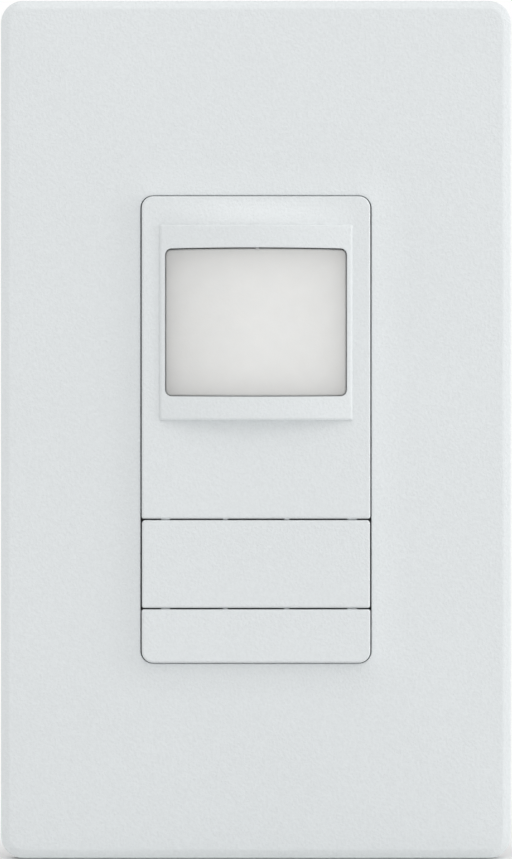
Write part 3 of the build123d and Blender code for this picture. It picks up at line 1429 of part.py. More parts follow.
PARTS = {
    "wall_plate": wall_plate,
    "plate_subframe": plate_subframe,
    "subframe_screws": subframe_screws,
    "mounting_strap": mounting_strap,
    "box_screws": box_screws,
    "screw_retainers": screw_retainers,
    "sensor_face": sensor_face,
    "sensor_lens": sensor_lens,
    "lens_frame": lens_frame,
    "main_key": main_key,
    "lower_key": lower_key,
    "front_chassis": front_chassis,
    "front_board": front_board,
    "pir_detector": pir_detector,
    "pir_window": pir_window,
    "photocell": photocell,
    "photocell_shroud": photocell_shroud,
    "status_led": status_led,
    "main_key_switch": lambda: push_switch(MAIN_POST_Z),
    "main_key_plunger": lambda: push_plunger(MAIN_POST_Z),
    "lower_key_switch": lambda: push_switch(LOWER_POST_Z),
    "lower_key_plunger": lambda: push_plunger(LOWER_POST_Z),
    "controller_chip": controller_chip,
    "board_socket": board_socket,
    "board_pins": board_pins,
    "power_board": power_board,
    "relay": relay,
    "film_capacitor": film_capacitor,
    "reservoir_capacitor": reservoir_capacitor,
    "surge_varistor": surge_varistor,
    "transformer_core": transformer_core,
    "transformer_coil": transformer_coil,
    "fuse": fuse,
    "bridge_rectifier": bridge_rectifier,
    "rear_housing": rear_housing,
    "housing_screws": housing_screws,
    "terminal_plates": terminal_plates,
    "terminal_clamps": terminal_clamps,
    "terminal_screws": terminal_screws,
    "ground_clamp": ground_clamp,
    "ground_screw": ground_screw,
}

os.makedirs("parts", exist_ok=True)
for name, make in PARTS.items():
    export_step(make(), f"parts/{name}.step")
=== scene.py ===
import math

import bmesh
import bpy
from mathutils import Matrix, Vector


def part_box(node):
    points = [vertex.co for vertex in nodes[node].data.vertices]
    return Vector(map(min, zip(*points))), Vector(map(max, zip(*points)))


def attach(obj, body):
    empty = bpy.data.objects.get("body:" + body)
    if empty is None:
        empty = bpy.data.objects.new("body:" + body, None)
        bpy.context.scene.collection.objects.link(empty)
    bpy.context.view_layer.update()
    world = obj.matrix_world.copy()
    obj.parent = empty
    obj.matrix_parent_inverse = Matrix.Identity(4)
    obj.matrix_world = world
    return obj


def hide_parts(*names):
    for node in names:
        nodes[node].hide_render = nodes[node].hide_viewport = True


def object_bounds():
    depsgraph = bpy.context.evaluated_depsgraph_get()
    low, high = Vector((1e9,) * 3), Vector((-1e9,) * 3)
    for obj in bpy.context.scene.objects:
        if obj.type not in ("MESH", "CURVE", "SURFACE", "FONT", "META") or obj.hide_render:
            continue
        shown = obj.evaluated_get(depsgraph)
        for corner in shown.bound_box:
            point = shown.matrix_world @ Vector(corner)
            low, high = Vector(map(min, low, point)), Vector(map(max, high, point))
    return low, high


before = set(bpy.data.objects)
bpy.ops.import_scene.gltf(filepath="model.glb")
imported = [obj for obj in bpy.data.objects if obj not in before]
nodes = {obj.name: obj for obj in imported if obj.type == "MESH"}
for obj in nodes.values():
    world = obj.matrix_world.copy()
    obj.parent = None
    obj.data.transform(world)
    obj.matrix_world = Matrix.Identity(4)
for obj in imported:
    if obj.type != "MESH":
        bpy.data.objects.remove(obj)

cad_low, cad_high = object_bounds()

# Rear housing: the black box that sits in the wall box, with terminal pockets at its sides
# and wire holes in its back. Glass-filled nylon, moulded in one piece with a spark-eroded
# grain, and held by four long screws from behind.
MM = 0.001
HOUSING_BLACK = (0.022, 0.022, 0.023, 1)
HOUSING_DUSTY = (0.034, 0.034, 0.035, 1)
PLASTIC_IOR = 1.5
MOST_OF_NOISE = (0.3, 0.7)
MIDDLE_OF_NOISE = (0.35, 0.65)
FLOW_SHARE = 0.2
FLOW_SATIN = 0.03
GRAIN_SATIN = 0.12
ROUND_EDGE = 0.15
ROUND_EDGE_SAMPLES = 8


class Signal:
    """An output socket of a node, on which Python's operators add Math nodes."""

    def __init__(self, out):
        self.out = out

    def node(self, kind, settings=None, values=None, result=0):
        """Adds a node: its settings first, then the values or links of its sockets."""
        tree = self.out.id_data
        made = tree.nodes.new(kind)
        for name, value in (settings or {}).items():
            setattr(made, name, value)
        for name, value in (values or {}).items():
            if isinstance(value, Signal):
                tree.links.new(value.out, made.inputs[name])
            else:
                made.inputs[name].default_value = value
        return Signal(made.outputs[result])

    def maths(self, operation, *others):
        """A Math node with this value first."""
        values = dict(enumerate((self, *others)))
        return self.node("ShaderNodeMath", {"operation": operation}, values)

    def __add__(self, other):
        return self.maths("ADD", other)

    def __sub__(self, other):
        return self.maths("SUBTRACT", other)

    def __rsub__(self, other):
        return (self * -1) + other

    def __mul__(self, other):
        return self.maths("MULTIPLY", other)

    def __truediv__(self, other):
        return self.maths("DIVIDE", other)

    def __abs__(self):
        return self.maths("ABSOLUTE")

    __radd__ = __add__
    __rmul__ = __mul__

    def at_least(self, other):
        """The larger of this value and the other."""
        return self.maths("MAXIMUM", other)

    def at_most(self, other):
        """The smaller of this value and the other."""
        return self.maths("MINIMUM", other)

    def above(self, other):
        """One where this value is above the other, and zero elsewhere."""
        return self.maths("GREATER_THAN", other)

    def parts(self):
        """The three numbers of a vector."""
        split = self.node("ShaderNodeSeparateXYZ", {}, {0: self}).out.node
        return [Signal(out) for out in split.outputs]

    def noise(self, scale, detail=3.0, roughness=0.5):
        """Cloudy noise over this place, about zero to one."""
        values = {"Vector": self, "Scale": scale, "Detail": detail, "Roughness": roughness}
        return self.node("ShaderNodeTexNoise", {}, values)

    def stretched(self, x, y, z):
        """This place with each axis scaled, for brushing and drawn lines."""
        return self.node(
            "ShaderNodeVectorMath", {"operation": "MULTIPLY"}, {0: self, 1: (x, y, z)}
        )

    def fade(self, low, high, to_low=0.0, to_high=1.0):
        """This value moved from one range to another, held at its ends."""
        names = ("Value", "From Min", "From Max", "To Min", "To Max")
        values = dict(zip(names, (self, low, high, to_low, to_high)))
        return self.node("ShaderNodeMapRange", {"clamp": True}, values)

    def choose(self, first, second):
        """A colour between two colours, by this mask."""
        values = {"Factor": self, "A": first, "B": second}
        return self.node("ShaderNodeMix", {"data_type": "RGBA"}, values, result=2)


def surface(name, fixed):
    """A material with one Principled shader, and the Object coordinates it is drawn in."""
    material = bpy.data.materials.new(name)
    material.use_nodes = True
    shader = material.node_tree.nodes["Principled BSDF"]
    for socket, value in fixed.items():
        shader.inputs[socket].default_value = value
    place = material.node_tree.nodes.new("ShaderNodeTexCoord")
    return material, Signal(place.outputs["Object"])


def feed(material, socket, signal):
    """Links what changes over a surface to its shader."""
    shader = material.node_tree.nodes["Principled BSDF"]
    material.node_tree.links.new(signal.out, shader.inputs[socket])


def relief(material, height, depth, edge=0.0):
    """Bumps a surface by a height from zero to one, for a real depth in millimetres, and
    rounds its sharp edges by a real radius."""
    values = {"Height": height, "Strength": 1.0, "Distance": depth * MM}
    if edge:
        values["Normal"] = height.node(
            "ShaderNodeBevel", {"samples": ROUND_EDGE_SAMPLES}, {"Radius": edge * MM}
        )
    feed(material, "Normal", height.node("ShaderNodeBump", {}, values))


def moulding(name, light, dark, roughness, grain_size, grain_depth, edge=ROUND_EDGE):
    """A moulded plastic: faint flow clouding, an eroded grain and a satin that varies.
    The grain's size and depth and the edge's radius are in millimetres."""
    material, place = surface(name, {"IOR": PLASTIC_IOR})
    flow = place.noise(scale=55.0, detail=4.0)
    grain = place.noise(scale=1 / (grain_size * MM), detail=2.0, roughness=0.55)
    tone = flow * FLOW_SHARE + grain * (1 - FLOW_SHARE)
    feed(material, "Base Color", tone.fade(*MIDDLE_OF_NOISE).choose(dark, light))
    satin = flow.fade(*MOST_OF_NOISE, roughness - FLOW_SATIN, roughness + FLOW_SATIN)
    feed(material, "Roughness", satin + (grain - 0.5) * GRAIN_SATIN)
    relief(material, grain, grain_depth, edge)
    return material


def dress(material, *names):
    """Gives CAD nodes a finish in their own material slots."""
    for name in names:
        for place in nodes[name].material_slots:
            place.material = material


housing_finish = moulding(
    "housing_moulding", HOUSING_DUSTY, HOUSING_BLACK,
    roughness=0.52, grain_size=0.22, grain_depth=0.035,
)
dress(housing_finish, "rear_housing")

# Housing screws: four long thread-forming screws of zinc-plated steel with cross-recessed
# heads. They go in from behind through housing and chassis and pull up in the strap.
# Like every screw of the switch they are cold-headed wire with a rolled thread.
ZINC_LIGHT = (0.66, 0.66, 0.645, 1)
ZINC_DARK = (0.52, 0.52, 0.515, 1)
STREAK_SHARE = 0.7
STREAK_ROUGHNESS = 0.16
PLATING_DEPTH = 0.006
HOUSING_HEAD = 1.85
HOUSING_HEAD_HEIGHT = 2.0
SHANK_SIDES = 30
SHANK_STEPS_A_TURN = 8
THREAD_FLANK = (0.12, 0.92)
TIP_TAPER = 0.7
HEAD_SIDES = 56
HEAD_STEPS = 10
HEAD_FLARE_END = 0.8
HEAD_SHOULDER = 0.45
HEAD_SHOULDER_DROP = 0.16
SMOOTH_BELOW = 32.0
OUTWARDS = (math.pi / 2, 0, 0)


def plated_steel(name, light, dark, roughness, brushed=(1, 1, 1)):
    """Plated or drawn metal: streaks along its working direction and a fine frosting."""
    material, place = surface(name, {"Metallic": 1.0})
    streak = place.stretched(*brushed).noise(scale=900.0, detail=4.0, roughness=0.6)
    frost = place.noise(scale=4200.0, detail=2.0)
    feed(material, "Base Color", streak.fade(*MOST_OF_NOISE).choose(dark, light))
    handled = place.noise(scale=160.0).fade(*MIDDLE_OF_NOISE, to_low=-0.05, to_high=0.06)
    feed(material, "Roughness", handled + roughness + (streak - 0.5) * STREAK_ROUGHNESS)
    relief(material, streak * STREAK_SHARE + frost * (1 - STREAK_SHARE), PLATING_DEPTH)
    return material


def group_input(tree, name, kind):
    """A named input of a geometry tree."""
    tree.interface.new_socket(name, in_out="INPUT", socket_type=kind)


def place_by_radius(mesh, x, y, height, radius):
    """Moves the points of a unit cylinder to a height and a radius."""
    where = mesh.node("ShaderNodeCombineXYZ", {}, {0: x * radius, 1: y * radius, 2: height})
    return mesh.node("GeometryNodeSetPosition", {}, {"Geometry": mesh, "Position": where})


def screw_tree():
    """The tree that makes a screw from its sizes and sets one at each point it is given."""
    tree = bpy.data.node_groups.new("screw", "GeometryNodeTree")
    group_input(tree, "Places", "NodeSocketGeometry")
    for name in (
        "Head radius", "Under head radius", "Head height", "Neck radius", "Neck length",
        "Thread radius", "Thread depth", "Pitch", "Length",
        "Recess width", "Recess depth", "Recess length",
    ):
        group_input(tree, name, "NodeSocketFloat")
    group_input(tree, "Crossed", "NodeSocketBool")
    group_input(tree, "Finish", "NodeSocketMaterial")
    tree.interface.new_socket("Screws", in_out="OUTPUT", socket_type="NodeSocketGeometry")
    given = tree.nodes.new("NodeGroupInput")
    size = {out.name: Signal(out) for out in given.outputs if out.name}
    steps = size["Length"] / size["Pitch"] * SHANK_STEPS_A_TURN

    shank = size["Length"].node(
        "GeometryNodeMeshCylinder",
        {"fill_type": "NGON"},
        {"Vertices": SHANK_SIDES, "Side Segments": steps, "Radius": 1.0,
         "Depth": size["Length"]},
    )
    x, y, z = shank.node("GeometryNodeInputPosition").parts()
    along = z + size["Length"] * 0.5
    turned = y.maths("ARCTAN2", x) / math.tau
    phase = (along / size["Pitch"] - turned).maths("FRACT")
    groove = abs(phase * 2.0 - 1.0).fade(*THREAD_FLANK)
    threaded = size["Thread radius"] - groove * size["Thread depth"]
    tip = (along - size["Length"] + size["Pitch"]).at_least(0.0)
    threaded = threaded.at_most(size["Thread radius"] - tip * TIP_TAPER)
    in_neck = size["Neck length"].above(along)
    radius = threaded * (1 - in_neck) + size["Neck radius"] * in_neck
    shank = place_by_radius(shank, x, y, along, radius)

    head = size["Head height"].node(
        "GeometryNodeMeshCylinder",
        {"fill_type": "NGON"},
        {"Vertices": HEAD_SIDES, "Side Segments": HEAD_STEPS, "Radius": 1.0,
         "Depth": size["Head height"]},
    )
    x, y, z = head.node("GeometryNodeInputPosition").parts()
    up = z / size["Head height"] + 0.5
    flare = up.fade(0.0, HEAD_FLARE_END)
    width = size["Under head radius"] * (1 - flare) + size["Head radius"] * flare
    shoulder = (up - HEAD_SHOULDER).at_least(0.0) / (1 - HEAD_SHOULDER)
    width = width * (1 - shoulder * shoulder * shoulder * HEAD_SHOULDER_DROP)
    head = place_by_radius(head, x, y, up * size["Head height"] * -1, width)
    head = head.node("GeometryNodeFlipFaces", {}, {"Mesh": head})

    recess = size["Recess width"].node(
        "ShaderNodeCombineXYZ",
        {},
        {0: size["Recess length"], 1: size["Recess width"], 2: size["Recess depth"] * 2},
    )
    bar = recess.node("GeometryNodeMeshCube", {}, {"Size": recess})
    crossing = bar.node(
        "GeometryNodeTransform", {}, {"Geometry": bar, "Rotation": (0, 0, math.pi / 2)}
    )
    cross = bar.node(
        "GeometryNodeSwitch",
        {"input_type": "GEOMETRY"},
        {"Switch": size["Crossed"], "True": crossing},
    )
    drop = recess.node("ShaderNodeCombineXYZ", {}, {2: size["Head height"] * -1})
    for cutter in (bar, cross):
        lowered = cutter.node(
            "GeometryNodeTransform", {}, {"Geometry": cutter, "Translation": drop}
        )
        head = head.node(
            "GeometryNodeMeshBoolean",
            {"operation": "DIFFERENCE", "solver": "EXACT"},
            {"Mesh 1": head, "Mesh 2": lowered},
        )

    joined = tree.nodes.new("GeometryNodeJoinGeometry")
    for part in (shank, head):
        tree.links.new(part.out, joined.inputs[0])
    whole = Signal(joined.outputs[0])
    small = whole.node("GeometryNodeTransform", {}, {"Geometry": whole, "Scale": (MM, MM, MM)})
    turn = small.node(
        "GeometryNodeInputNamedAttribute", {"data_type": "FLOAT_VECTOR"}, {"Name": "turn"}
    )
    placed = small.node(
        "GeometryNodeInstanceOnPoints",
        {},
        {"Points": size["Places"], "Instance": small, "Rotation": turn},
    )
    solid = placed.node("GeometryNodeRealizeInstances", {}, {"Geometry": placed})
    done = solid.node(
        "GeometryNodeSetMaterial", {}, {"Geometry": solid, "Material": size["Finish"]}
    )
    tree.links.new(done.out, tree.nodes.new("NodeGroupOutput").inputs[0])
    return tree


def finished_piece(name, mesh, material, crease=SMOOTH_BELOW):
    """A new piece at the origin, smooth but for the edges sharper than its crease."""
    mesh.name = name
    mesh.materials.clear()
    mesh.materials.append(material)
    mesh.shade_smooth()
    mesh.set_sharp_from_angle(angle=math.radians(crease))
    piece = bpy.data.objects.new(name, mesh)
    bpy.context.scene.collection.objects.link(piece)
    return piece


def made_by(tree, name, places, turns, sizes, material):
    """Runs a geometry tree on a set of points and keeps the result as a plain mesh."""
    points = bpy.data.meshes.new(name + "_places")
    points.from_pydata([Vector(place) * MM for place in places], [], [])
    turn = points.attributes.new("turn", "FLOAT_VECTOR", "POINT")
    for index, angles in enumerate(turns):
        turn.data[index].vector = angles
    carrier = bpy.data.objects.new(name + "_places", points)
    bpy.context.scene.collection.objects.link(carrier)
    maker = carrier.modifiers.new("maker", "NODES")
    maker.node_group = tree
    identifiers = {item.name: item.identifier for item in tree.interface.items_tree}
    for size_name, value in {**sizes, "Finish": material}.items():
        maker[identifiers[size_name]] = value
    made = carrier.evaluated_get(bpy.context.evaluated_depsgraph_get())
    mesh = bpy.data.meshes.new_from_object(made)
    carrier.modifiers.remove(maker)
    bpy.data.objects.remove(carrier)
    return finished_piece(name, mesh, material)


screws = screw_tree()
screw_zinc = plated_steel("screw_steel", ZINC_LIGHT, ZINC_DARK, roughness=0.3)
low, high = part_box("housing_screws")
housing_x = high.x / MM - HOUSING_HEAD
housing_z = high.z / MM - HOUSING_HEAD
seat = high.y / MM - HOUSING_HEAD_HEIGHT
housing_screws = made_by(
    screws,
    "housing_screws_threaded",
    [(x, seat, z) for x in (-housing_x, housing_x) for z in (-housing_z, housing_z)],
    [OUTWARDS] * 4,
    {
        "Head radius": HOUSING_HEAD,
        "Under head radius": HOUSING_HEAD,
        "Head height": HOUSING_HEAD_HEIGHT,
        "Neck radius": 1.0,
        "Neck length": 6.0,
        "Thread radius": 1.25,
        "Thread depth": 0.32,
        "Pitch": 1.0,
        "Length": seat - low.y / MM,
        "Recess width": 0.55,
        "Recess depth": 1.1,
        "Recess length": 2.1,
        "Crossed": True,
    },
    screw_zinc,
)
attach(housing_screws, "root")
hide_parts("housing_screws")

# Terminals: brass plates in the side pockets, each with a steel clamp that a screw draws
# down on one or two wires. The plates are stamped strip, the clamps pressed and zinc
# plated, and the screws brass with wide slotted heads.
BRASS_LIGHT = (0.78, 0.60, 0.30, 1)
BRASS_DARK = (0.60, 0.44, 0.20, 1)
BINDING_HEAD = 3.4
BINDING_HEAD_HEIGHT = 2.0
BINDING_LENGTH = 3.2
SAME_SCREW_WITHIN = 9.0
SLOT_CUTTER = 9.0
MACHINE_RADIUS = 1.753
MACHINE_THREAD = {"Thread radius": MACHINE_RADIUS, "Thread depth": 0.42, "Pitch": 0.794}
BINDING_SIZES = {
    **MACHINE_THREAD,
    "Head radius": BINDING_HEAD,
    "Under head radius": BINDING_HEAD,
    "Head height": BINDING_HEAD_HEIGHT,
    "Neck radius": 1.403,
    "Neck length": 0.4,
    "Recess width": 1.1,
    "Recess depth": 1.0,
    "Recess length": SLOT_CUTTER,
}


def centres(name, apart):
    """Middles of a node's separate like pieces, grouped by how far apart they lie."""
    groups = []
    for vertex in nodes[name].data.vertices:
        for group in groups:
            if (group[0] - vertex.co).length < apart * MM:
                group.append(vertex.co.copy())
                break
        else:
            groups.append([vertex.co.copy()])
    middles = []
    for group in groups:
        low = [min(point[axis] for point in group) for axis in range(3)]
        high = [max(point[axis] for point in group) for axis in range(3)]
        middles.append([(a + b) / 2 / MM for a, b in zip(low, high)])
    return middles


brass = plated_steel(
    "terminal_brass", BRASS_LIGHT, BRASS_DARK, roughness=0.26, brushed=(1, 0.15, 1)
)
dress(brass, "terminal_plates")
clamp_zinc = plated_steel(
    "clamp_steel", ZINC_LIGHT, ZINC_DARK, roughness=0.33, brushed=(1, 1, 0.12)
)
dress(clamp_zinc, "terminal_clamps")

low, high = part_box("terminal_screws")
bearing = high.x / MM - BINDING_HEAD_HEIGHT
places = []
turns = []
for x, y, z in centres("terminal_screws", SAME_SCREW_WITHIN):
    side = 1 if x > 0 else -1
    places.append((side * bearing, y, z))
    turns.append((0, -side * math.pi / 2, 0))
binding_sizes = {**BINDING_SIZES, "Length": BINDING_LENGTH}
terminal_screws = made_by(
    screws, "terminal_screws_slotted", places, turns, binding_sizes, brass
)
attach(terminal_screws, "root")
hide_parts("terminal_screws")

# Power board: the laminate behind, with the parts that switch and supply the device. It is
# a routed glass-fibre board with solder mask over copper tracks, and the parts are soldered
# on: moulded, dipped or taped bodies, and a strip of plated pins to the front board.
BOARD_GREEN = (0.020, 0.105, 0.045, 1)
TRACK_GREEN = (0.045, 0.190, 0.085, 1)
MASK_ROUGHNESS = 0.34
WEAVE_ROUGHNESS = 0.08
TRACK_SHARE = 0.8
MASK_DEPTH = 0.03
PIN_LIGHT = (0.83, 0.66, 0.32, 1)
PIN_DARK = (0.72, 0.55, 0.24, 1)
# A moulding's light and dark colour, its roughness, and its grain's size and depth:
RELAY_BLUE = ((0.03, 0.12, 0.42, 1), (0.02, 0.09, 0.34, 1), 0.3, 0.3, 0.01)
BOX_YELLOW = ((0.62, 0.50, 0.12, 1), (0.52, 0.40, 0.08, 1), 0.35, 0.3, 0.012)
SLEEVE_BLACK = ((0.035, 0.04, 0.06, 1), (0.02, 0.022, 0.04, 1), 0.3, 0.4, 0.008)
DIPPED_BLUE = ((0.05, 0.13, 0.36, 1), (0.03, 0.09, 0.27, 1), 0.42, 0.35, 0.05)
FERRITE_GREY = ((0.05, 0.048, 0.046, 1), (0.03, 0.03, 0.03, 1), 0.55, 0.15, 0.03)
TAPE_YELLOW = ((0.66, 0.50, 0.10, 1), (0.55, 0.40, 0.07, 1), 0.28, 0.8, 0.02)
FUSE_CERAMIC = ((0.74, 0.72, 0.66, 1), (0.62, 0.60, 0.55, 1), 0.3, 0.4, 0.006)
RESIN_BLACK = ((0.026, 0.026, 0.028, 1), (0.018, 0.018, 0.02, 1), 0.5, 0.12, 0.02)


def laminate(name):
    """Green solder mask over tracks that run in right angles, with a faint weave."""
    material, place = surface(name, {"IOR": 1.52, "Coat Roughness": 0.12})
    x, y, z = place.parts()
    lane = place.node(
        "ShaderNodeTexBrick",
        {"offset": 0.37, "squash": 1.7},
        {"Vector": place.node("ShaderNodeCombineXYZ", {}, {0: x, 1: z}), "Scale": 210.0,
         "Mortar Size": 0.035, "Mortar Smooth": 0.2, "Bias": 0.0,
         "Brick Width": 0.9, "Row Height": 0.5},
        result=1,
    )
    weave = place.node(
        "ShaderNodeTexWave", {"bands_direction": "X"}, {"Vector": place, "Scale": 900.0},
        result=1,
    )
    track = lane * place.noise(scale=90.0, detail=1.0).fade(low=0.49, high=0.51)
    feed(material, "Base Color", track.choose(BOARD_GREEN, TRACK_GREEN))
    coat = place.noise(scale=300.0).fade(*MOST_OF_NOISE, to_low=0.5, to_high=0.8)
    feed(material, "Coat Weight", coat)
    feed(material, "Roughness", weave * WEAVE_ROUGHNESS + MASK_ROUGHNESS)
    relief(material, track * TRACK_SHARE + weave * (1 - TRACK_SHARE), MASK_DEPTH)
    return material


board_laminate = laminate("board_laminate")
dress(board_laminate, "power_board")
dress(moulding("relay_case", *RELAY_BLUE), "relay")
dress(moulding("capacitor_case", *BOX_YELLOW), "film_capacitor")
dress(moulding("capacitor_can", *SLEEVE_BLACK), "reservoir_capacitor")
dress(moulding("varistor_resin", *DIPPED_BLUE), "surge_varistor")
dress(moulding("ferrite", *FERRITE_GREY), "transformer_core")
dress(moulding("winding_tape", *TAPE_YELLOW), "transformer_coil")
dress(moulding("fuse_body", *FUSE_CERAMIC), "fuse")
chip_resin = moulding("chip_resin", *RESIN_BLACK)
dress(chip_resin, "bridge_rectifier")
pin_gold = plated_steel(
    "gold_pins", PIN_LIGHT, PIN_DARK, roughness=0.22, brushed=(1, 0.2, 1)
)
dress(pin_gold, "board_pins")

# Front board: it carries the heat detector, the photocell, the indicator, the two key
# switches and the controller. The parts are soldered to it, and it lies on the chassis.
CAN_LIGHT = (0.70, 0.69, 0.66, 1)
CAN_DARK = (0.58, 0.57, 0.55, 1)
FILTER_LIGHT = (0.06, 0.035, 0.05, 1)
FILTER_DARK = (0.03, 0.02, 0.03, 1)
FILTER_ROUGHNESS = 0.06
FILTER_UNEVEN = 0.05
LAMP_LIGHT = (0.72, 0.80, 0.70, 1)
LAMP_DARK = (0.62, 0.72, 0.62, 1)
LAMP_ROUGHNESS = 0.12
LAMP_UNEVEN = 0.1
# A moulding's light and dark colour, its roughness, and its grain's size and depth:
CELL_CERAMIC = ((0.80, 0.73, 0.60, 1), (0.72, 0.62, 0.48, 1), 0.3, 0.5, 0.02)
SWITCH_BLACK = ((0.03, 0.03, 0.031, 1), (0.02, 0.02, 0.021, 1), 0.45, 0.2, 0.015)
PLUNGER_IVORY = ((0.75, 0.72, 0.62, 1), (0.70, 0.66, 0.55, 1), 0.4, 0.2, 0.01)
dress(board_laminate, "front_board")
can_steel = plated_steel(
    "can_steel", CAN_LIGHT, CAN_DARK, roughness=0.24, brushed=(1, 0.1, 1)
)
dress(can_steel, "pir_detector")
filter_glass, place = surface("filter_glass", {"IOR": 1.6, "Coat Weight": 0.6})
tint = place.noise(scale=400.0).fade(*MOST_OF_NOISE)
feed(filter_glass, "Base Color", tint.choose(FILTER_DARK, FILTER_LIGHT))
feed(filter_glass, "Roughness", tint * FILTER_UNEVEN + FILTER_ROUGHNESS)
dress(filter_glass, "pir_window")
dress(moulding("ceramic_body", *CELL_CERAMIC), "photocell")
dark_plastic = moulding("dark_plastic", *SWITCH_BLACK)
dress(dark_plastic, "photocell_shroud", "main_key_switch", "lower_key_switch", "board_socket")
dress(moulding("plunger_plastic", *PLUNGER_IVORY), "main_key_plunger", "lower_key_plunger")
lamp, place = surface("lamp_resin", {"IOR": PLASTIC_IOR, "Transmission Weight": 0.35})
haze = place.noise(scale=700.0).fade(*MOST_OF_NOISE)
feed(lamp, "Base Color", haze.choose(LAMP_DARK, LAMP_LIGHT))
feed(lamp, "Roughness", haze * LAMP_UNEVEN + LAMP_ROUGHNESS)
dress(lamp, "status_led")
dress(chip_resin, "controller_chip")

# Front chassis: the inner moulding that lies between strap and housing. Its tower comes
# through the strap's window and carries the face, the keys and their snap openings.
INNER_LIGHT = (0.70, 0.715, 0.72, 1)
INNER_DARK = (0.66, 0.675, 0.68, 1)
inner_finish = moulding(
    "inner_moulding", INNER_LIGHT, INNER_DARK,
    roughness=0.46, grain_size=0.25, grain_depth=0.02,
)
dress(inner_finish, "front_chassis")

# Mounting strap: the steel yoke that is screwed to the wall box. Blanked from zinc-plated
# strip, with tapped holes, break-off scores at its ears and a grounding lug bent back,
# which carries a steel clamp and a green passivated screw.
STRAP_LIGHT = (0.64, 0.645, 0.64, 1)
STRAP_DARK = (0.50, 0.505, 0.51, 1)
STRAP_ROUGHNESS = 0.27
STRAP_DEPTH = 0.008
ROLLED_SHARE = 0.6
SPANGLE_ROUGHNESS = 0.08
GREEN_LIGHT = (0.10, 0.42, 0.16, 1)
GREEN_DARK = (0.05, 0.26, 0.10, 1)
strap_zinc, place = surface("zinc_steel", {"Metallic": 1.0})
rolled = place.stretched(1.0, 1.0, 0.06).noise(scale=1400.0, detail=5.0, roughness=0.65)
spangle = place.node(
    "ShaderNodeTexVoronoi", {"feature": "F1"}, {"Vector": place, "Scale": 420.0}, result=1
)
spangle = spangle.parts()[0]
zinc_tone = rolled * ROLLED_SHARE + spangle * (1 - ROLLED_SHARE)
zinc_colour = zinc_tone.fade(low=0.25, high=0.75).choose(STRAP_DARK, STRAP_LIGHT)
feed(strap_zinc, "Base Color", zinc_colour)
handled = place.noise(scale=70.0, detail=4.0).fade(low=0.4, high=0.62, to_high=0.09)
feed(strap_zinc, "Roughness", handled + spangle * SPANGLE_ROUGHNESS + STRAP_ROUGHNESS)
relief(strap_zinc, rolled, STRAP_DEPTH)
dress(strap_zinc, "mounting_strap")
dress(clamp_zinc, "ground_clamp")

low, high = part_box("ground_screw")
ground_screw = made_by(
    screws,
    "ground_screw_slotted",
    [(low.x / MM + BINDING_HEAD_HEIGHT, (low.y + high.y) / 2 / MM, (low.z + high.z) / 2 / MM)],
    [(0, math.pi / 2, 0)],
    {**BINDING_SIZES, "Length": (high.x - low.x) / MM - BINDING_HEAD_HEIGHT},
    plated_steel("green_screw", GREEN_LIGHT, GREEN_DARK, roughness=0.3),
)
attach(ground_screw, "root")
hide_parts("ground_screw")

# Box screws and retainers: two long machine screws that fasten the strap to the wall box,
# zinc plated, held in the strap's slots by square washers of punched red fibre.
BOX_HEAD = 3.3
BOX_HEAD_HEIGHT = 1.8
FIBRE_LIGHT = (0.36, 0.21, 0.12, 1)
FIBRE_DARK = (0.25, 0.13, 0.075, 1)
FIBRE_ROUGHNESS = 0.62
FIBRE_UNEVEN = 0.2
FIBRE_DEPTH = 0.04
INWARDS = (-math.pi / 2, 0, 0)
low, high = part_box("box_screws")
box_z = high.z / MM - BOX_HEAD
box_screws = made_by(
    screws,
    "box_screws_threaded",
    [(0, low.y / MM + BOX_HEAD_HEIGHT, z) for z in (-box_z, box_z)],
    [INWARDS] * 2,
    {
        **MACHINE_THREAD,
        "Head radius": BOX_HEAD,
        "Under head radius": BOX_HEAD,
        "Head height": BOX_HEAD_HEIGHT,
        "Neck radius": 1.4,
        "Neck length": 2.2,
        "Length": (high.y - low.y) / MM - BOX_HEAD_HEIGHT,
        "Recess width": 0.9,
        "Recess depth": 0.8,
        "Recess length": SLOT_CUTTER,
    },
    screw_zinc,
)
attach(box_screws, "root")
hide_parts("box_screws")

fibre, place = surface("fibre", {"IOR": 1.45})
strand = place.stretched(1.0, 1.0, 0.2).noise(scale=1600.0, detail=6.0, roughness=0.7)
feed(fibre, "Base Color", strand.fade(*MIDDLE_OF_NOISE).choose(FIBRE_DARK, FIBRE_LIGHT))
feed(fibre, "Roughness", strand * FIBRE_UNEVEN + FIBRE_ROUGHNESS)
relief(fibre, strand, FIBRE_DEPTH)
dress(fibre, "screw_retainers")

# Fixed face: the white tray clipped into the tower, with the crowned hood round the lens.
# The face rises smoothly to the hood's top. Moulded in the same ABS as the keys and the
# plate, with a faint spark grain.
WHITE_LIGHT = (0.742, 0.773, 0.783, 1)
WHITE_DARK = (0.708, 0.737, 0.747, 1)
HOOD_CROWN = 1.4
HOOD_SIDE_PROUD = 0.35
HOOD_BEYOND_FLANGE_X = 0.155
HOOD_BEYOND_FLANGE_Z = 2.608
RISE_MARGIN = 0.25
RISE_SUNK = 0.01
RISE_BURIED = 0.4
RISE_EASED = 0.9
RISE_END = 1.111
RISE_STRAIGHT = 0.45
RISE_COLUMNS = 32
RISE_ROWS = 12
RISE_RUNOUT = 3.0
RISE_RUNOUT_ROWS = 5
SAME_POINT = 0.001
WHITE_CREASE = 30.0


def smooth(t):
    """Zero to one with a level start and end."""
    return t * t * (3 - 2 * t)


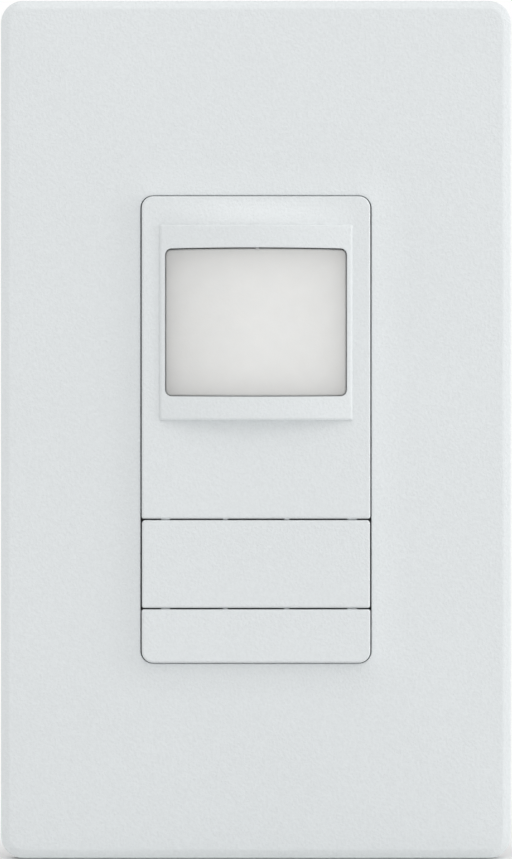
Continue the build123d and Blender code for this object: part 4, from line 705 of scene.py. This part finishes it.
def add_skin(shape, rings, looped=False):
    """Adds a closed skin through rings of as many points each to a mesh in the making."""
    made = [[shape.verts.new(Vector(point) * MM) for point in ring] for ring in rings]
    count = len(made[0])
    pairs = list(zip(made, made[1:] + made[:1])) if looped else list(zip(made, made[1:]))
    for first, second in pairs:
        for index in range(count):
            after = (index + 1) % count
            shape.faces.new((first[index], first[after], second[after], second[index]))
    if not looped:
        shape.faces.new(made[0])
        shape.faces.new(made[-1])


def mesh_of(name, shape):
    """Turns what was made into a mesh with its faces outwards."""
    bmesh.ops.recalc_face_normals(shape, faces=shape.faces)
    mesh = bpy.data.meshes.new(name)
    shape.to_mesh(mesh)
    shape.free()
    return mesh


white = moulding(
    "white_moulding", WHITE_LIGHT, WHITE_DARK,
    roughness=0.36, grain_size=0.36, grain_depth=0.075, edge=0.3,
)
flange_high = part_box("sensor_lens")[1]
hood_half = flange_high.x / MM + HOOD_BEYOND_FLANGE_X
hood_top = flange_high.z / MM + HOOD_BEYOND_FLANGE_Z
low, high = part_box("sensor_face")
face_front = low.y / MM + HOOD_CROWN + HOOD_SIDE_PROUD
rise_start = high.z / MM - RISE_MARGIN


def rise_ring(z, share):
    """One row of the rise: a share of the hood's crown, which runs out past its sides."""
    half = hood_half * RISE_END
    ring = []
    for column in range(RISE_COLUMNS + 1):
        x = half * (2 * column / RISE_COLUMNS - 1)
        off = abs(x) / hood_half
        level = 1 - min(off, RISE_EASED) ** 2
        if off > RISE_EASED:
            level *= ((RISE_END - off) / (RISE_END - RISE_EASED)) ** 2
        ring.append((x, face_front + RISE_SUNK - HOOD_CROWN * level * share, z))
    return ring + [(x, face_front + RISE_BURIED, z) for x in (half, -half)]


rise_rings = []
for row in range(RISE_ROWS + 1):
    t = row / RISE_ROWS
    share = RISE_STRAIGHT * t + (1 - RISE_STRAIGHT) * smooth(t)
    rise_rings.append(rise_ring(rise_start + (hood_top - rise_start) * t, share))
for row in range(1, RISE_RUNOUT_ROWS + 1):
    t = row / RISE_RUNOUT_ROWS
    rise_rings.append(rise_ring(hood_top - RISE_RUNOUT * t, 1 - smooth(t)))
shape = bmesh.new()
add_skin(shape, rise_rings)
rise = finished_piece("rise", mesh_of("rise", shape), white)
shape = bmesh.new()
shape.from_mesh(nodes["sensor_face"].data)
bmesh.ops.remove_doubles(shape, verts=shape.verts, dist=SAME_POINT * MM)
face_mesh = mesh_of("tray", shape)
face_mesh.attributes.remove(face_mesh.attributes["custom_normal"])
tray = finished_piece("tray", face_mesh, white)
union = tray.modifiers.new("union", "BOOLEAN")
union.operation = "UNION"
union.solver = "EXACT"
union.object = rise
joined = tray.evaluated_get(bpy.context.evaluated_depsgraph_get())
face_mesh = bpy.data.meshes.new_from_object(joined)
tray.modifiers.remove(union)
bpy.data.objects.remove(tray)
bpy.data.objects.remove(rise)
face_shell = finished_piece("sensor_face_shell", face_mesh, white, WHITE_CREASE)
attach(face_shell, "root")
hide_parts("sensor_face")

# Lens: milky polyethylene, moulded as a thin crowned shell that throws heat from the room
# on the detector. Its flange is trapped under the face by the frame. Its colour carries a
# painted shade that darkens it towards its edges and corners.
LENS_SHELL = 0.8
LENS_FLANGE_REACH = 0.8
LENS_FLANGE = 0.7
LENS_WIDER = 0.08
LENS_LOWER = 0.07
LENS_CORNER = 0.8
LENS_LEAST_CORNER = 0.3
LENS_CORNER_STEPS = 8
LENS_SIDE_STEPS = 12
LENS_EDGE_ROUND = 0.35
LENS_EDGE_STEPS = 5
LENS_ARCHES = {1: 0.15, -1: 0.06}
LENS_CROWN_RADIUS = 68.3
LENS_FRONT_RINGS = (0.02, 0.15, 0.3, 0.45, 0.6, 0.72, 0.82, 0.9, 0.96)
LENS_INSIDE_RINGS = (1.0, 0.85, 0.6, 0.3, 0.02)
LENS_CREASE = 40.0
# The lens's clear colour, and the black that its painted edge shade mixes towards:
LENS_CLEAR = (0.820, 0.820, 0.806, 1)
LENS_PAINTED_SHADE = (0.000, 0.000, 0.000, 1)
LENS_CLOUD = 0.012
LENS_GRAIN_DEPTH = 0.02
GATE_X = 0.2
GATE_WIDE = 0.42
GATE_BELOW = 0.3
GATE_ABOVE = 0.1
GATE_SETBACK = 0.12
GATE_THICK = 1.0
QUARTERS = ((1, 1), (-1, 1), (-1, -1), (1, -1))
low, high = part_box("sensor_lens")
lens_half = (high.x - low.x) / 2 / MM - LENS_FLANGE_REACH + LENS_WIDER
lens_top = high.z / MM - LENS_FLANGE_REACH - LENS_ARCHES[1]
lens_bottom = low.z / MM + LENS_FLANGE_REACH + LENS_ARCHES[-1] - LENS_LOWER
lens_z = (lens_top + lens_bottom) / 2
lens_half_high = (lens_top - lens_bottom) / 2
lens_front = low.y / MM
lens_back = high.y / MM


def corner_arc(quarter, half, half_high, corner, steps):
    """The points of one round corner from the front; the first is at the upper right."""
    sx, sz = QUARTERS[quarter]
    arc = []
    for step in range(steps + 1):
        angle = math.radians(90 * quarter + 90 * step / steps)
        x = sx * (half - corner) + corner * math.cos(angle)
        z = sz * (half_high - corner) + corner * math.sin(angle)
        arc.append((x, z))
    return arc


def lens_outline(grow):
    """The lens from the front as points in order: bowed top and bottom, round corners."""
    half = lens_half + grow
    half_high = lens_half_high + grow
    corner = max(LENS_CORNER + grow, LENS_LEAST_CORNER)
    points = []
    for quarter, (sx, sz) in enumerate(QUARTERS):
        points += corner_arc(quarter, half, half_high, corner, LENS_CORNER_STEPS)
        for step in range(1, LENS_SIDE_STEPS):
            along = 1 - 2 * step / LENS_SIDE_STEPS
            if sx == sz:
                x = sx * (half - corner) * along
                bow = LENS_ARCHES[sz] * (1 - (x / half) ** 2)
                points.append((x, sz * (half_high + bow)))
            else:
                points.append((sx * half, sz * (half_high - corner) * along))
    return points


def crown(x, front):
    """Depth of a crowned surface at a place across the device."""
    radius = LENS_CROWN_RADIUS - (front - lens_front)
    return front + radius - (radius * radius - x * x) ** 0.5


def crowned_ring(grow, front, drop=0.0, scale=1.0):
    """The outline laid on the crown, or a little behind it, and drawn in to its middle."""
    return [
        (x * scale, crown(x * scale, front) + drop, lens_z + z * scale)
        for x, z in lens_outline(grow)
    ]


def flat_ring(grow, y):
    """The outline at one depth."""
    return [(x, y, lens_z + z) for x, z in lens_outline(grow)]


lens_inside = lens_front + LENS_SHELL
flange_grow = LENS_FLANGE_REACH - LENS_WIDER
rings = [
    crowned_ring(-LENS_EDGE_ROUND, lens_front, scale=scale) for scale in LENS_FRONT_RINGS
]
for step in range(LENS_EDGE_STEPS + 1):
    turn = math.radians(90 * step / LENS_EDGE_STEPS)
    grow = LENS_EDGE_ROUND * (math.sin(turn) - 1)
    rings.append(crowned_ring(grow, lens_front, LENS_EDGE_ROUND * (1 - math.cos(turn))))
rings += [
    flat_ring(0, lens_back - LENS_FLANGE),
    flat_ring(flange_grow, lens_back - LENS_FLANGE),
    flat_ring(flange_grow, lens_back),
    flat_ring(-LENS_SHELL, lens_back),
]
rings += [crowned_ring(-LENS_SHELL, lens_inside, scale=scale) for scale in LENS_INSIDE_RINGS]


def painted_edge_shade(distance, strength, reach):
    """Painted shade: how much darker the lens is painted at a distance from its edge, in
    millimetres.
    """
    return (distance / -reach).maths("EXPONENT") * strength


milky, place = surface(
    "lens_moulding",
    {"IOR": PLASTIC_IOR, "Subsurface Weight": 0.2, "Subsurface Radius": (1.0, 0.9, 0.8),
     "Subsurface Scale": MM},
)
x, y, z = place.parts()
from_side = lens_half - abs(x) / MM
from_end = lens_half_high - abs(z / MM - lens_z)
# Painted shade: the lens colour is darkened towards its sides and ends, in place of real shade.
painted_side_shade = painted_edge_shade(from_side, strength=0.20, reach=1.5)
painted_side_shade = painted_side_shade + painted_edge_shade(from_side, strength=0.14, reach=9.0)
painted_end_shade = painted_edge_shade(from_end, strength=0.25, reach=2.1)
clear = (1 - painted_side_shade) * (1 - painted_end_shade)
cloud = place.noise(scale=420.0, detail=4.0).fade(*MOST_OF_NOISE, -LENS_CLOUD, LENS_CLOUD)
feed(milky, "Base Color", (clear + cloud).choose(LENS_PAINTED_SHADE, LENS_CLEAR))
satin = place.noise(scale=900.0).fade(*MOST_OF_NOISE, to_low=0.34, to_high=0.44)
feed(milky, "Roughness", satin)
relief(milky, place.noise(scale=2600.0, detail=2.0), LENS_GRAIN_DEPTH)
shape = bmesh.new()
add_skin(shape, rings)
gate_y = crown(GATE_X, lens_front) + GATE_SETBACK
gate_sides = (GATE_X - GATE_WIDE / 2, GATE_X + GATE_WIDE / 2)
gate_ends = (lens_top - GATE_BELOW, lens_top + LENS_ARCHES[1] + GATE_ABOVE)
gate_corners = [(gate_sides[i], gate_ends[j]) for i, j in ((0, 0), (1, 0), (1, 1), (0, 1))]
add_skin(shape, [[(x, y, z) for x, z in gate_corners] for y in (gate_y, gate_y + GATE_THICK)])
lens_shell = finished_piece(
    "sensor_lens_shell", mesh_of("sensor_lens_shell", shape), milky, LENS_CREASE
)
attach(lens_shell, "root")
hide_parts("sensor_lens")
dress(inner_finish, "lens_frame")

# Lenslets: the small round lenses in rows on the inner side of the lens, each of which
# looks at its own part of the room. The same milky polyethylene, moulded with the lens.
LENSLET_COLUMNS = 5
LENSLET_ROWS = 4
LENSLET_REACH = 1.9
LENSLET_RISE = 0.3
LENSLET_PITCH = 2.1 * LENSLET_REACH
lenslets = bpy.data.node_groups.new("lenslets", "GeometryNodeTree")
group_input(lenslets, "Places", "NodeSocketGeometry")
group_input(lenslets, "Reach", "NodeSocketFloat")
group_input(lenslets, "Rise", "NodeSocketFloat")
group_input(lenslets, "Finish", "NodeSocketMaterial")
lenslets.interface.new_socket("Lenslets", in_out="OUTPUT", socket_type="NodeSocketGeometry")
given = lenslets.nodes.new("NodeGroupInput")
size = {out.name: Signal(out) for out in given.outputs if out.name}
ball = size["Reach"].node(
    "GeometryNodeMeshUVSphere", {}, {"Segments": 24, "Rings": 12, "Radius": 1.0}
)
spread = ball.node(
    "ShaderNodeCombineXYZ",
    {},
    {0: size["Reach"] * MM, 1: size["Rise"] * MM, 2: size["Reach"] * MM},
)
cap = ball.node("GeometryNodeTransform", {}, {"Geometry": ball, "Scale": spread})
set_out = cap.node(
    "GeometryNodeInstanceOnPoints", {}, {"Points": size["Places"], "Instance": cap}
)
real = set_out.node("GeometryNodeRealizeInstances", {}, {"Geometry": set_out})
done = real.node(
    "GeometryNodeSetMaterial", {}, {"Geometry": real, "Material": size["Finish"]}
)
lenslets.links.new(done.out, lenslets.nodes.new("NodeGroupOutput").inputs[0])
places = []
for column in range(LENSLET_COLUMNS):
    x = (column - (LENSLET_COLUMNS - 1) / 2) * LENSLET_PITCH
    for row in range(LENSLET_ROWS):
        z = lens_z + (row - (LENSLET_ROWS - 1) / 2) * LENSLET_PITCH
        places.append((x, crown(x, lens_inside), z))
lenslet_sizes = {"Reach": LENSLET_REACH, "Rise": LENSLET_RISE}
unturned = [(0, 0, 0)] * len(places)
lenslet_caps = made_by(lenslets, "lenslets", places, unturned, lenslet_sizes, milky)
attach(lenslet_caps, "root")

# Keys: the large and the small push key, white mouldings that slide on guides in the tower
# and snap behind its deck. They carry the same finish as the face.
dress(white, "main_key", "lower_key")

# Subframe: the inner frame that the plate snaps to, moulded in the inner plastic, and its
# two short countersunk screws of plated steel, slotted, with heads painted white.
PAINT_LIGHT = (0.74, 0.76, 0.765, 1)
PAINT_DARK = (0.66, 0.68, 0.69, 1)
PAINT_ROUGHNESS = 0.27
PAINT_UNEVEN = 0.1
PAINT_EDGE_WANDER = 0.8
PAINT_EDGE_SOFT = 0.2
PAINT_DEPTH = 0.02
FRAME_HEAD = 3.2
FRAME_HEAD_HEIGHT = 1.1
dress(inner_finish, "plate_subframe")
low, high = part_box("subframe_screws")
painted, place = surface("white_screw", {"IOR": PLASTIC_IOR})
flow = place.noise(scale=300.0, detail=4.0)
paint_end = low.y + FRAME_HEAD_HEIGHT * MM
depth = place.parts()[1] + (flow - 0.5) * (PAINT_EDGE_WANDER * MM)
bare = depth.fade(paint_end, paint_end + PAINT_EDGE_SOFT * MM)
enamel = flow.fade(*MIDDLE_OF_NOISE).choose(PAINT_DARK, PAINT_LIGHT)
feed(painted, "Base Color", bare.choose(enamel, ZINC_LIGHT))
feed(painted, "Metallic", bare)
feed(painted, "Roughness", flow * PAINT_UNEVEN + PAINT_ROUGHNESS)
relief(painted, flow, PAINT_DEPTH)
frame_z = high.z / MM - FRAME_HEAD
subframe_screws = made_by(
    screws,
    "subframe_screws_slotted",
    [(0, low.y / MM + FRAME_HEAD_HEIGHT, z) for z in (-frame_z, frame_z)],
    [INWARDS] * 2,
    {
        **MACHINE_THREAD,
        "Head radius": FRAME_HEAD,
        "Under head radius": MACHINE_RADIUS,
        "Head height": FRAME_HEAD_HEIGHT,
        "Neck radius": MACHINE_RADIUS,
        "Neck length": 0.0,
        "Length": (high.y - low.y) / MM - FRAME_HEAD_HEIGHT,
        "Recess width": 0.8,
        "Recess depth": 0.45,
        "Recess length": SLOT_CUTTER,
    },
    painted,
)
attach(subframe_screws, "root")
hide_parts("subframe_screws")

# Wall plate: the white cover that snaps over the subframe with four beads. Moulded in one
# shot with a narrow bevel round its front, a collar at the opening and a pry slot below.
PLATE_WALL = 2.0
PLATE_SKIN = 2.2
PLATE_CORNER = 3.2
PLATE_LEAST_CORNER = 0.8
PLATE_CORNER_STEPS = 12
BEVEL = 1.15
BEVEL_DEPTH = 0.5
BEVEL_LIP = 0.15
BEVEL_LIP_DEPTH = 0.06
BEVEL_RUN_ON = 4.0
BEVEL_EASED = 0.22
OPENING = (32.95, 66.76, 1.83)
OPENING_EASED = 0.08
SWELL_RISE = 0.6
SWELL_REACH = 5.4
SWELL_STEPS = 8
COLLAR_WALL = 1.2
COLLAR_DEPTH = 1.4
BEAD_REACH = 0.9
BEAD_ROOT = 0.4
BEAD_LENGTH = 12.0
BEAD_HEIGHT = 1.5
BEAD_OFFSET = 28.0
BEAD_FRONT = -3.2
PRY_HALF = 4.0
PRY_SIDE = 0.01
PRY_DEPTH = 1.0
EASED_STEPS = 4
EASED_SHARE = 2.1
low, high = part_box("wall_plate")
plate_wide = (high.x - low.x) / MM
plate_high = (high.z - low.z) / MM
plate_front = low.y / MM


def plate_outline(width, height, corner, y):
    """A rounded rectangle, seen from the front, with two close pairs at the pry slot."""
    points = []
    for quarter in range(len(QUARTERS)):
        arc = corner_arc(quarter, width / 2, height / 2, corner, PLATE_CORNER_STEPS)
        points += [(x, y, z) for x, z in arc]
        if QUARTERS[quarter] == (-1, -1):
            for x in (-PRY_HALF - PRY_SIDE, -PRY_HALF, PRY_HALF, PRY_HALF + PRY_SIDE):
                in_slot = abs(x) <= PRY_HALF and y == 0
                points.append((x, -PRY_DEPTH if in_slot else y, -height / 2))
    return points


def eased(points, radius):
    """A profile whose inner corners are rounded by a curve through each."""
    path = [points[0]]
    for before, corner, after in zip(points, points[1:], points[2:]):
        corner = Vector(corner)
        back = Vector(before) - corner
        ahead = Vector(after) - corner
        reach = min(radius, back.length / EASED_SHARE, ahead.length / EASED_SHARE)
        start = corner + back.normalized() * reach
        end = corner + ahead.normalized() * reach
        for step in range(EASED_STEPS + 1):
            t = step / EASED_STEPS
            path.append(tuple(start.lerp(corner, t).lerp(corner.lerp(end, t), t)))
    path.append(points[-1])
    return path


bevel_foot = plate_front + BEVEL_DEPTH
outer_profile = eased(
    [(0, 0), (0, bevel_foot), (BEVEL_LIP, bevel_foot - BEVEL_LIP_DEPTH),
     (BEVEL, plate_front), (BEVEL + BEVEL_RUN_ON, plate_front)],
    BEVEL_EASED,
)
plate_rings = []
for inset, y in outer_profile[:-1]:
    corner = max(PLATE_CORNER - inset, PLATE_LEAST_CORNER)
    plate_rings.append(
        plate_outline(plate_wide - 2 * inset, plate_high - 2 * inset, corner, y)
    )
inside = plate_front + PLATE_SKIN
collar_end = inside + COLLAR_DEPTH
swell = [
    (SWELL_REACH * step / SWELL_STEPS, plate_front - SWELL_RISE * (1 - step / SWELL_STEPS) ** 2)
    for step in range(SWELL_STEPS, -1, -1)
]
opening_profile = swell[:-1] + eased([*swell[-2:], (0, collar_end)], OPENING_EASED)[1:]
opening_profile += [(COLLAR_WALL, collar_end), (COLLAR_WALL, inside)]
wide, tall, corner = OPENING
for grow, y in opening_profile:
    plate_rings.append(plate_outline(wide + 2 * grow, tall + 2 * grow, corner + grow, y))
wide, tall, corner = (
    plate_wide - 2 * PLATE_WALL, plate_high - 2 * PLATE_WALL, PLATE_CORNER - PLATE_WALL
)
plate_rings += [plate_outline(wide, tall, corner, y) for y in (inside, 0)]
shape = bmesh.new()
add_skin(shape, plate_rings, looped=True)
bead_wall = plate_wide / 2 - PLATE_WALL
bead_profile = (
    (bead_wall + BEAD_ROOT, BEAD_FRONT),
    (bead_wall - BEAD_REACH, BEAD_FRONT),
    (bead_wall - BEAD_REACH, BEAD_FRONT + BEAD_HEIGHT / 3),
    (bead_wall, BEAD_FRONT + BEAD_HEIGHT),
    (bead_wall + BEAD_ROOT, BEAD_FRONT + BEAD_HEIGHT),
)
for side in (-1, 1):
    for middle in (-BEAD_OFFSET, BEAD_OFFSET):
        ends = (middle - BEAD_LENGTH / 2, middle + BEAD_LENGTH / 2)
        add_skin(shape, [[(side * x, y, z) for x, y in bead_profile] for z in ends])
plate_shell = finished_piece(
    "wall_plate_shell", mesh_of("wall_plate_shell", shape), white, WHITE_CREASE
)
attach(plate_shell, "root")
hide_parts("wall_plate")

# Studio: a plain pale floor under the plate's lower edge that turns white for the camera a
# little way off, a sky that is brighter overhead, and soft boxes at the right and above.
# Its sizes are in metres, where the pieces above have theirs in millimetres.
FLOOR_PALE = (0.87, 0.87, 0.87, 1)
FLOOR_FLECK = (0.90, 0.90, 0.90, 1)
FLOOR_REACH = 4.0
FLOOR_BELOW = 0.0001
FLOOR_WHITENS = (0.05, 0.25)
PURE_WHITE = (1, 1, 1, 1)
SKY_LEVEL = 0.645
SKY_LIFT = 0.50


def background_rays(tree):
    """One for rays that show the background: straight, mirrored or through glass."""
    paths = tree.nodes.new("ShaderNodeLightPath")
    seen = Signal(paths.outputs["Is Camera Ray"])
    for kind in ("Is Glossy Ray", "Is Transmission Ray"):
        seen = seen.at_least(Signal(paths.outputs[kind]))
    return seen


def soft_box(name, azimuth, elevation, distance, width, height, radiance):
    """A soft rectangular lamp that looks at the switch from a given side."""
    lamp_data = bpy.data.lights.new(name, "AREA")
    lamp_data.shape = "RECTANGLE"
    lamp_data.size = width
    lamp_data.size_y = height
    lamp_data.energy = radiance * math.pi * width * height
    lamp_object = bpy.data.objects.new(name, lamp_data)
    bpy.context.scene.collection.objects.link(lamp_object)
    turn = math.radians(azimuth)
    rise = math.radians(elevation)
    level = math.cos(rise)
    way = Vector((math.sin(turn) * level, -math.cos(turn) * level, math.sin(rise)))
    lamp_object.location = way * distance
    lamp_object.rotation_euler = way.to_track_quat("Z", "Y").to_euler()


floor_mesh = bpy.data.meshes.new("floor")
floor_z = cad_low.z - FLOOR_BELOW
floor_corners = [
    (x * FLOOR_REACH, y * FLOOR_REACH, floor_z) for x, y in ((-1, -1), (1, -1), (1, 1), (-1, 1))
]
floor_mesh.from_pydata(floor_corners, [], [(0, 1, 2, 3)])
floor = bpy.data.objects.new("floor", floor_mesh)
bpy.context.scene.collection.objects.link(floor)
pale, place = surface("floor_paper", {"Roughness": 0.8, "IOR": 1.3})
fleck = place.noise(scale=30.0).fade(*MOST_OF_NOISE)
feed(pale, "Base Color", fleck.choose(FLOOR_PALE, FLOOR_FLECK))
x, y, z = place.parts()
away = (x * x + y * y).maths("SQRT").fade(*FLOOR_WHITENS)
seen = background_rays(pale.node_tree)
glow = seen.node("ShaderNodeEmission", {}, {"Color": PURE_WHITE, "Strength": 1.0})
paper = Signal(pale.node_tree.nodes["Principled BSDF"].outputs[0])
mixed = seen.node("ShaderNodeMixShader", {}, {0: seen * away, 1: paper, 2: glow})
pale.node_tree.links.new(mixed.out, pale.node_tree.nodes["Material Output"].inputs["Surface"])
floor_mesh.materials.append(pale)

world = bpy.data.worlds.new("studio")
bpy.context.scene.world = world
world.use_nodes = True
back = world.node_tree.nodes["Background"]
seen = background_rays(world.node_tree)
sky = world.node_tree.nodes.new("ShaderNodeTexCoord")
overhead = Signal(sky.outputs["Generated"]).parts()[2].at_least(0.0)
level = overhead * overhead * SKY_LIFT + SKY_LEVEL
strength = seen + level * (1 - seen)
world.node_tree.links.new(strength.out, back.inputs["Strength"])
back.inputs["Color"].default_value = PURE_WHITE
soft_box(
    "right_box", azimuth=79, elevation=10, distance=1.6, width=0.9, height=1.0, radiance=3.3
)
soft_box(
    "top_box", azimuth=5, elevation=60, distance=1.6, width=0.9, height=1.0, radiance=1.5
)

# Camera: straight in front of the plate, on its axis, as in the photograph, and far enough
# off that the sides hardly narrow.
CAMERA_SENSOR = 36
CAMERA_LENS = 440.5
CAMERA_DISTANCE = 1.507
CAMERA_CLIP = (0.1, 20)
camera_data = bpy.data.cameras.new("camera")
camera_data.sensor_width = CAMERA_SENSOR
camera_data.lens = CAMERA_LENS
camera_data.clip_start, camera_data.clip_end = CAMERA_CLIP
camera = bpy.data.objects.new("camera", camera_data)
bpy.context.scene.collection.objects.link(camera)
camera.location = (0, -CAMERA_DISTANCE, 0)
camera.rotation_euler = (math.pi / 2, 0, 0)
bpy.context.scene.camera = camera
bpy.context.scene.view_settings.view_transform = "Standard"
